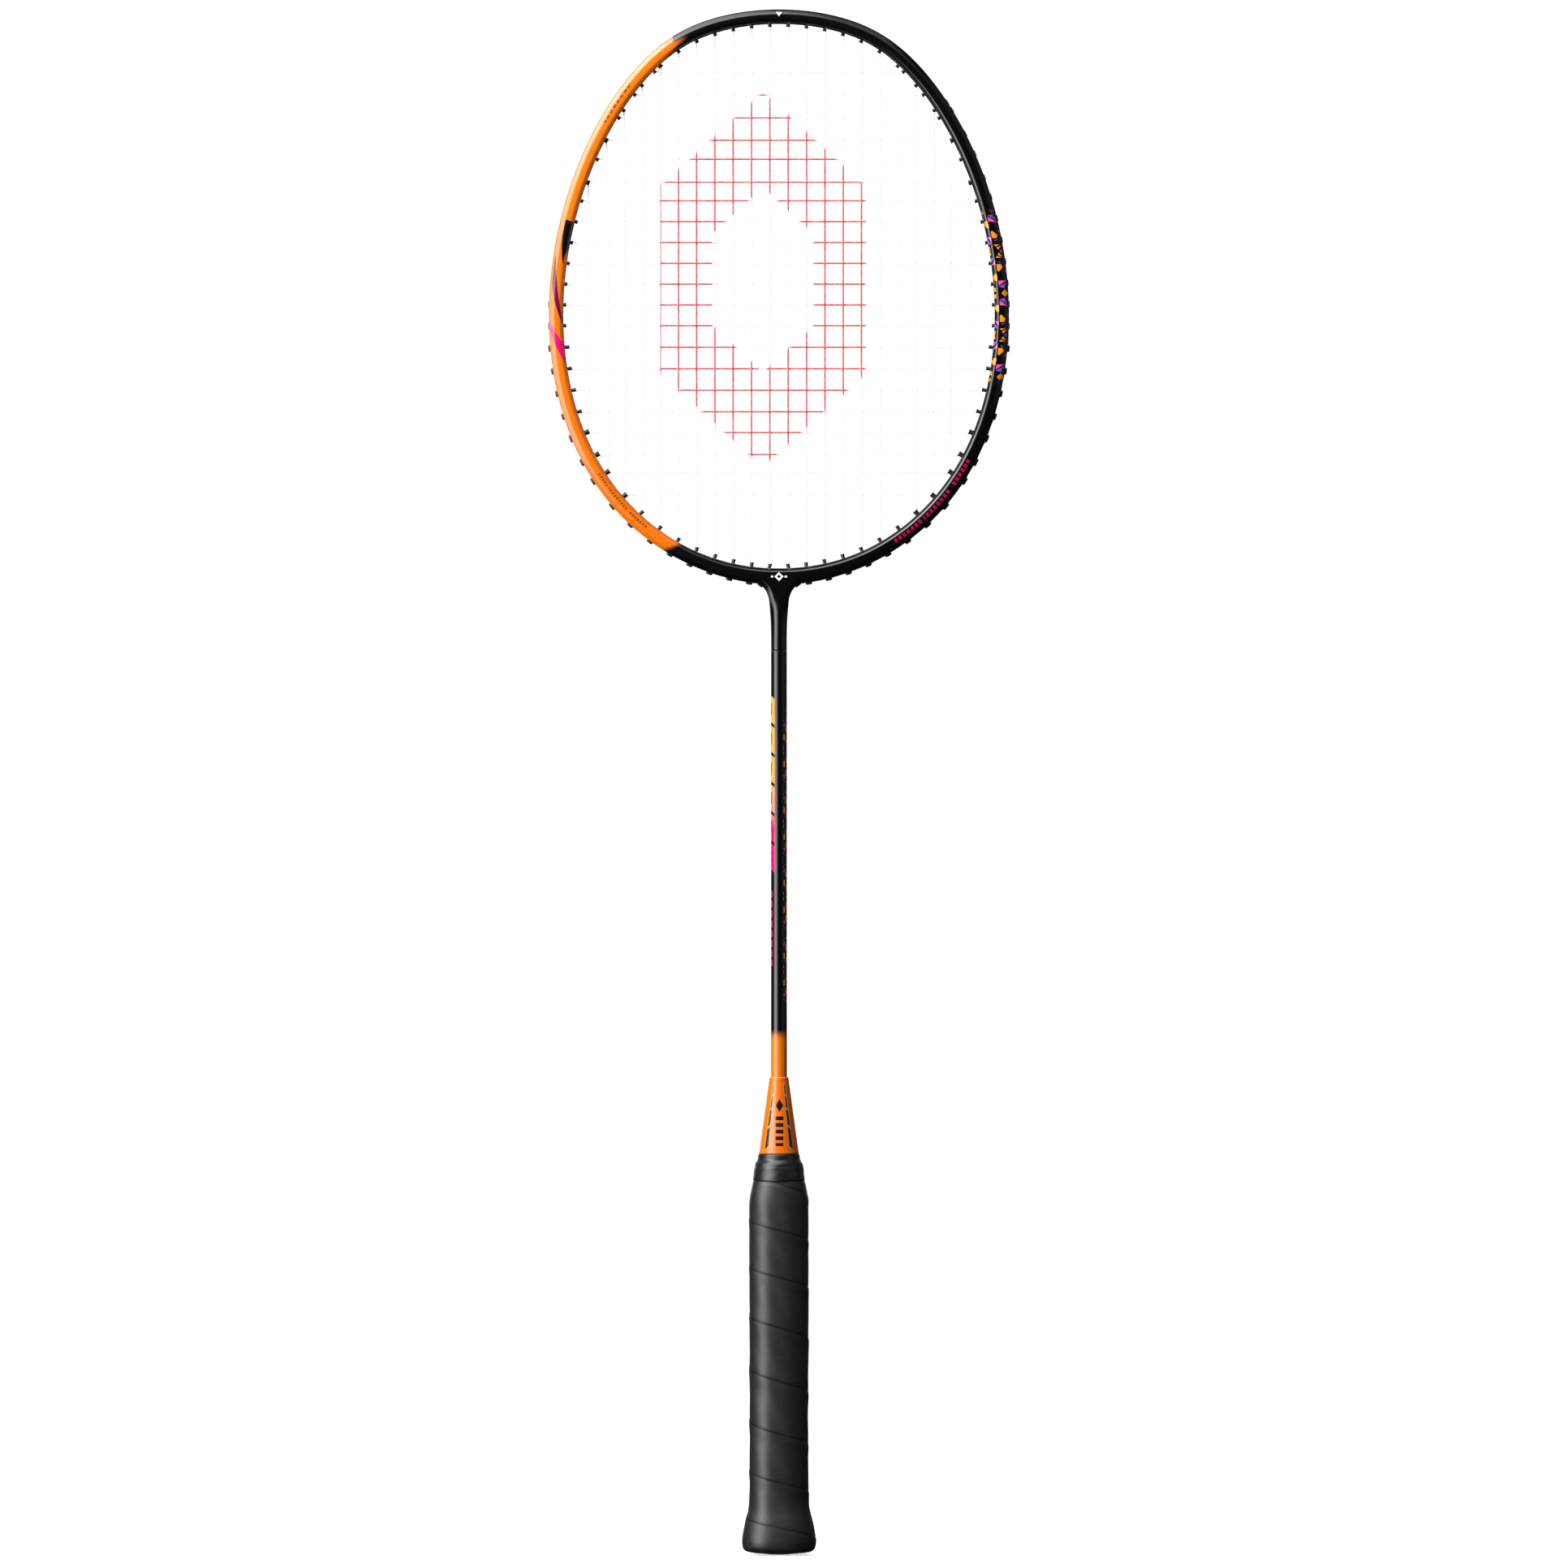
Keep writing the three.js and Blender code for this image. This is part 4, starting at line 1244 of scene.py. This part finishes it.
def build_tape():
    """The tape goes round three times, so thin edges of its turns show, a little askew, each with a
    painted highlight.
    """
    sides = 120
    outside = np.array(TAPE_PROFILE)
    heights = np.linspace(outside[0, 1], outside[-1, 1], 90)
    radii = np.interp(heights, outside[::-1, 1], outside[::-1, 0])
    kernel = np.ones(5) / 5
    radii[2:-2] = np.convolve(radii, kernel, "valid")
    a = np.linspace(0, 2 * np.pi, sides, endpoint=False)
    edge_rows = (172.4, 168.9)  # where inner turns end under the outer one
    rings, edge_highlights = [], []
    for z, r in zip(heights, radii):
        bulge, mark = np.zeros(sides), np.zeros(sides)
        for n, row in enumerate(edge_rows):
            line = row + 0.35 * np.sin(a + 2.2 * n + 0.6)
            away = (z - line) / 0.28
            bulge += 0.07 * (1 - smooth(away * 0.5 + 0.5)) - 0.035
            # Painted highlight just under each edge's line.
            mark += 0.7 * np.exp(-((away + 0.6) ** 2))
        fade = smooth((z - TAPE_BOTTOM) / 1.0) * smooth((174.5 - z) / 0.8)
        slack = 0.05 * np.sin(3 * a + z * 0.9) + 0.03 * np.sin(7 * a - z * 1.7)
        radius = r + (bulge + slack) * fade
        rings.append(np.stack([radius * np.cos(a), radius * np.sin(a), np.full(sides, z)], -1))
        edge_highlights.append(mark * fade)
    inner = CONE_BOTTOM_R - 0.9 + 0.2
    for z in (TAPE_BOTTOM + 0.05, 174.95):
        rings.append(np.stack([inner * np.cos(a), inner * np.sin(a), np.full(sides, z)], -1))
        edge_highlights.append(np.zeros(sides))
    shell = Shell()
    faces = skin_faces(len(rings), sides, closed=True)
    shell.add(np.concatenate(rings), faces, edge=np.concatenate(edge_highlights))
    shell.piece("tape_band", tape_paint(), "tape", "finishing_tape")


build_tape()

# ---- Grip ----

GRIP_DEPTH_RATIO = 0.92
GRIP_SIDES = 144
GRIP_ROW = 0.33  # millimetres between rows
GRIP_PROFILE = [  # height and half width of the grip's outside
    (1.12, 13.5),
    (1.2, 13.9),
    (1.5, 14.7),
    (2.0, 15.4),
    (2.8, 15.85),
    (4.0, 16.12),
    (5.8, 16.26),
    (7.5, 16.14),
    (9.0, 15.92),
    (12, 15.4),
    (15, 14.72),
    (18, 13.88),
    (20, 13.46),
    (22, 13.22),
    (25, 13.07),
    (31, 12.98),
    (60, 12.85),
    (90, 12.93),
    (150, 13.0),
    (154, 12.96),
    (157, 12.62),
    (160, 12.01),
    (162, 11.57),
    (163.1, 11.3),
]
# Height and half width of the core's outside below where it simply keeps under the wrap.
CORE_FOOT = [(1.62, 12.9), (1.7, 13.2), (2.2, 13.8)]
WRAP_WALL = 1.35
CORE_GAP = 0.15
# Heights of the wrap's seam at the middle of the front.
SEAMS = (183.0, 161.9, 141.9, 121.4, 99.6, 76.2, 53.2, 32.0, 12.3, -8.0)
SEAM_RAISE = 0.2
OCTAGON = [0, 47.4, 90, 132.6, 180, 227.4, 270, 312.6]


def octagon_radius(a):
    """The radius of a rounded octagon of half width 1 at each angle."""
    total = 0
    for n, degrees in enumerate(OCTAGON):
        d = math.radians(degrees)
        reach = 1.03 if n % 2 else 1.0 if n % 4 == 0 else GRIP_DEPTH_RATIO
        total = total + np.maximum(0, np.cos(a - d) / reach) ** 10
    return total ** (-1 / 10)


def grip_paint():
    p = Paint("grip_wrap_black")
    strand = p.noise(1.1, 5.0, (0.2, 0.2, 2.4))
    fine = p.noise(0.5, 3.0, (0.5, 0.5, 1.4))
    cloud = p.noise(16, 4.0, (1, 1, 0.7))
    crease, rim = p.read("crease"), p.read("rim")
    colour = p.mix(cloud, (0.0055, 0.0054, 0.0053), (0.0085, 0.0083, 0.0081))
    colour = p.mix(strand.step(0.45, 0.75) * 0.3, colour, (0.0125, 0.0122, 0.012))
    # Painted shade: each seam of the wrap is near black, as if in the shadow of the turn's edge.
    colour = p.mix(crease, colour, (0.001, 0.001, 0.001))
    # Painted highlight: a slightly lighter line on the lap just below each seam.
    colour = p.mix(rim * 0.1, colour, (0.014, 0.0137, 0.0134))
    roughness = strand * 0.14 + 0.31 + cloud * 0.06
    # Painted shade: the seams also reflect less light.
    plug(p.tree, p.shader.inputs["Specular IOR Level"], 0.5 - crease * 0.5)
    height = strand * 0.75 + fine * 0.25
    return p.done(colour, roughness, height, bump=0.055)


def build_grip():
    profile = np.array(GRIP_PROFILE)
    top, bottom = profile[-1, 0], profile[0, 0]
    edge = profile[:7, 0]
    rows = np.concatenate([edge[:-1], np.arange(edge[-1], top, GRIP_ROW), [top]])
    half = np.interp(rows, profile[:, 0], profile[:, 1])
    softened = np.convolve(half, np.ones(9) / 9, "same")
    half += (softened - half) * smooth((rows - 6) / 5) * smooth((top - rows - 1.4) / 2)
    # Angles from the front, growing to the right, so that the seam falls to the right.
    a = np.linspace(-np.pi, np.pi, GRIP_SIDES, endpoint=False)
    radius = octagon_radius(a - np.pi / 2)
    heights = np.array(SEAMS)
    rings, seam_shades, seam_highlights = [], [], []
    for z, width in zip(rows, half):
        turns = np.interp(-z, -heights, np.arange(len(heights))) - a / (2 * np.pi)
        at = turns - np.floor(turns)
        pitch = 21.0
        below = at * pitch  # how far under the seam above
        above = (1 - at) * pitch  # how far over the seam below
        lap = SEAM_RAISE * smooth(below / 0.3) * (1 - smooth((below - 1.2) / 5.2))
        sink = 0.07 * np.exp(-((above / 0.8) ** 2)) + 0.06 * np.exp(-((below / 0.4) ** 2))
        pull = 0.10 * np.sin(5 * a + z * 0.21) * np.sin(z * 0.13 + 2 * a)
        fade = smooth((z - bottom) / 2.5) * smooth((top - z) / 2.5)
        offset = (lap - sink + pull) * fade
        r = width * radius + offset
        rings.append(np.stack([r * np.sin(a), -r * np.cos(a), np.full_like(a, z)], -1))
        # The painted shade along each seam.
        seam_shades.append(np.exp(-((np.minimum(below * 0.75, above + 0.1) / 0.36) ** 2)) * fade)
        # The painted highlight on the lap just below each seam.
        seam_highlights.append(np.exp(-(((below - 1.0) / 0.4) ** 2)) * fade)
    inside = [(z, width - WRAP_WALL) for z, width in GRIP_PROFILE[:3:-1]]
    inside += [(z, width + CORE_GAP) for z, width in CORE_FOOT[::-1]] + [(1.2, 13.42)]
    for z, width in inside:
        r = width * radius
        rings.append(np.stack([r * np.sin(a), -r * np.cos(a), np.full_like(a, z)], -1))
        seam_shades.append(np.zeros_like(a))
        seam_highlights.append(np.zeros_like(a))
    shell = Shell()
    faces = skin_faces(len(rings), GRIP_SIDES, closed=True)
    values = {"crease": np.concatenate(seam_shades), "rim": np.concatenate(seam_highlights)}
    shell.add(np.concatenate(rings), faces, **values)
    shell.piece("wrap", grip_paint(), "grip", "grip_wrap")


def wood_paint():
    p = Paint("core_wood")
    grain = p.noise(2.2, 6.0, (1, 1, 0.06))
    pores = p.noise(0.35, 3.0, (1, 1, 0.05))
    colour = p.mix(grain.step(0.35, 0.7), (0.62, 0.42, 0.22), (0.42, 0.25, 0.11))
    colour = p.mix(pores.step(0.62, 0.75) * 0.6, colour, (0.25, 0.14, 0.06))
    return p.done(colour, grain * 0.15 + 0.55, grain * 0.6 + pores * 0.4, bump=0.08)


def build_core():
    """The wooden core under the wrap, with the shaft's bore down from its top."""
    a = np.linspace(0, 2 * np.pi, GRIP_SIDES, endpoint=False)
    shape = octagon_radius(a)
    bore = SHAFT_R + 0.3
    rows = CORE_FOOT + [(z, width - WRAP_WALL - CORE_GAP) for z, width in GRIP_PROFILE[4:]]
    rings = [width * shape for _, width in rows]
    heights = [z for z, _ in rows]
    rings += [np.full_like(a, bore), np.full_like(a, bore)]
    heights += [heights[-1], HANDLE_TOP - SHAFT_IN_HANDLE - 0.3]
    points = [
        np.stack([r * np.cos(a), r * np.sin(a), np.full_like(a, z)], -1)
        for r, z in zip(rings, heights)
    ]
    shell = Shell()
    shell.add(np.concatenate(points), capped_faces(len(points), GRIP_SIDES))
    shell.piece("core", wood_paint(), "wood", "handle_core")


build_grip()
build_core()

# ---- Butt cap ----


def cap_paint():
    p = Paint("butt_cap_black")
    grain = p.noise(0.6, 4.0)
    cloud = p.noise(7, 3.0)
    radius = (p.x * p.x + p.y * p.y).power(0.5)
    ring = (radius - 9.2).math("ABSOLUTE", 0.0).step(0.35, 0.2)
    colour = p.mix(cloud, (0.016, 0.016, 0.017), (0.030, 0.030, 0.032))
    colour = p.mix(ring * 0.8, colour, (0.10, 0.10, 0.104))
    return p.done(colour, grain * 0.15 + 0.36, grain, bump=0.03)


def build_cap():
    """A slightly domed plate with a raised six-sided badge and a sunk ring."""
    sides = 96
    a = np.linspace(0, 2 * np.pi, sides, endpoint=False)
    octagon = octagon_radius(a)
    hexagon = sum(np.maximum(0, np.cos(a - math.radians(60 * n))) ** 24 for n in range(6))
    hexagon = hexagon ** (-1 / 24)
    rim = 13.35
    rings = []

    def ring(size, z, shape=1.0):
        """A ring that turns from a circle or hexagon into the grip's octagon further out."""
        blend = smooth((size - 8) / 5)
        r = size * (octagon * blend + shape * (1 - blend))
        rings.append(np.stack([r * np.cos(a), r * np.sin(a), np.full(sides, z)], -1))

    for size, z, shape in (
        (0.6, 0.0, hexagon),
        (3.0, 0.03, hexagon),
        (4.6, 0.06, hexagon),
        (4.8, 0.10, hexagon),
        (4.95, 0.22, hexagon),
        (5.2, 0.25, hexagon),
        (7.5, 0.38, 1.0),
        (8.75, 0.50, 1.0),
        (8.95, 0.66, 1.0),
        (9.45, 0.68, 1.0),
        (9.65, 0.58, 1.0),
        (11.5, 0.76, 1.0),
        (12.9, 0.98, 1.0),
        (13.2, 1.06, 1.0),
        (rim, 1.2, 1.0),
        (rim, 1.5, 1.0),
        (6.0, 1.3, 1.0),
        (0.6, 1.3, 1.0),
    ):
        ring(size, z, shape)
    shell = Shell()
    shell.add(np.concatenate(rings), capped_faces(len(rings), sides))
    shell.piece("butt_cap", cap_paint(), "badge", "end_badge")


build_cap()

# ---- The hidden T-joint, which stays as the CAD model has it ----


def composite_paint():
    p = Paint("composite_bare")
    fibre = p.noise(0.4, 4.0, (0.2, 1, 0.2))
    cloud = p.noise(8, 3.0)
    colour = p.mix(fibre, (0.02, 0.02, 0.021), (0.07, 0.07, 0.072))
    return p.done(colour, cloud * 0.2 + 0.35, fibre, bump=0.05)


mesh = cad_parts["t_joint"].data
mesh.materials.clear()
mesh.materials.append(composite_paint())

# ---- Camera, light and floor ----

CAMERA_DISTANCE = 6.0
VIEW_WIDTH = 0.6853
VIEW_CENTRE = (0.0022, 0.3366)  # x and z


def build_camera():
    data = bpy.data.cameras.new("camera")
    data.sensor_width = 36
    data.lens = data.sensor_width * CAMERA_DISTANCE / VIEW_WIDTH
    data.clip_end = 100
    camera = bpy.data.objects.new("camera", data)
    camera.location = (VIEW_CENTRE[0], -CAMERA_DISTANCE, VIEW_CENTRE[1])
    camera.rotation_euler = (math.pi / 2, 0, 0)
    bpy.context.scene.collection.objects.link(camera)
    bpy.context.scene.camera = camera


def softbox(name, azimuth, distance, height, width, tall, radiance, aim_at=None):
    """A rectangular lamp at an angle from the front, upright unless it aims at a height."""
    data = bpy.data.lights.new(name, "AREA")
    data.shape = "RECTANGLE"
    data.size, data.size_y = width, tall
    data.energy = radiance * math.pi * width * tall
    light = bpy.data.objects.new(name, data)
    a = math.radians(azimuth)
    way = Vector((-math.sin(a), math.cos(a), 0)) * distance
    light.location = (-way.x, -way.y, height)
    if aim_at is not None:
        way.z = aim_at - height
    light.rotation_euler = way.to_track_quat("-Z", "Y").to_euler()
    light.visible_camera = False
    bpy.context.scene.collection.objects.link(light)


AIM_AT_GRIP_TOP, AIM_AT_HEAD = 0.45, 0.6
LAMPS = [  # name, azimuth, distance, height, width, tallness, radiance and what it aims at
    ("key_0", -50, 2.40, 1.5, 1.0, 4.2, 2.3, None),  # one big lamp that fades to its sides
    ("key_1", -50, 2.42, 1.5, 1.9, 4.2, 2.3, None),
    ("key_2", -50, 2.44, 1.5, 2.8, 4.2, 2.3, None),
    ("key_high_0", -66, 2.30, 2.1, 0.7, 1.3, 3.6, AIM_AT_HEAD),
    ("key_high_1", -66, 2.32, 2.1, 1.2, 2.1, 3.6, AIM_AT_HEAD),
    ("overhead", -30, 1.3, 2.2, 1.7, 1.5, 4.2, AIM_AT_GRIP_TOP),
    ("overhead_wide", -2, 1.4, 2.3, 2.8, 1.6, 1.3, AIM_AT_GRIP_TOP),
    ("fill", 66, 2.6, 1.3, 2.4, 2.5, 0.22, None),
    ("rear_left", -148, 2.4, 1.3, 1.1, 2.4, 0.4, None),
    ("rear_right", 130, 2.6, 1.4, 1.4, 2.4, 0.14, None),
    ("rear_wide", 180, 2.6, 1.4, 2.0, 2.4, 2.2, None),
]
ROOM_STRENGTH = 0.035  # of the white all round that lights the racket
BACKDROP_STRENGTH = 1.05  # of the white that the camera sees behind it


def build_light():
    for lamp in LAMPS:
        softbox(*lamp)
    world = bpy.data.worlds.new("studio")
    bpy.context.scene.world = world
    world.use_nodes = True
    nodes, links = world.node_tree.nodes, world.node_tree.links
    room, backdrop = nodes["Background"], nodes.new("ShaderNodeBackground")
    path = nodes.new("ShaderNodeLightPath")
    mixed = nodes.new("ShaderNodeMixShader")
    links.new(path.outputs["Is Camera Ray"], mixed.inputs["Fac"])
    both = ((room, ROOM_STRENGTH), (backdrop, BACKDROP_STRENGTH))
    for socket, (node, strength) in zip(list(mixed.inputs)[1:], both):
        node.inputs["Color"].default_value = (1, 1, 1, 1)
        node.inputs["Strength"].default_value = strength
        links.new(node.outputs[0], socket)
    links.new(mixed.outputs[0], nodes["World Output"].inputs["Surface"])
    bpy.context.scene.view_settings.view_transform = "Standard"


FLOOR_RADIUS = 1.6
FLOOR_DROP = 0.0002  # below the butt's end face
FLOOR_GLOW = 0.62


def build_floor():
    """A round pale floor that gives off light, so that it is close to the white beyond it.

    It takes light and shadow, but the racket neither mirrors it nor is lit by it.
    """
    mesh = bpy.data.meshes.new("floor")
    sides = 96
    a = np.linspace(0, 2 * np.pi, sides, endpoint=False)
    ring = np.stack([FLOOR_RADIUS * np.cos(a), FLOOR_RADIUS * np.sin(a), np.zeros(sides)], -1)
    mesh.from_pydata(ring.tolist(), [], [list(range(sides))])
    paint = Paint("floor_white")
    cloud = paint.noise(400, 2.0)
    colour = paint.mix(cloud, (0.80, 0.80, 0.80), (0.84, 0.84, 0.84))
    material = paint.done(colour, 0.6, emission_strength=FLOOR_GLOW)
    paint.shader.inputs["Emission Color"].default_value = (1, 1, 1, 1)
    mesh.materials.append(material)
    floor = bpy.data.objects.new("floor", mesh)
    floor.location.z = cad_box[0].z - FLOOR_DROP
    floor.visible_diffuse = floor.visible_glossy = floor.visible_shadow = False
    bpy.context.scene.collection.objects.link(floor)


build_camera()
build_light()
build_floor()
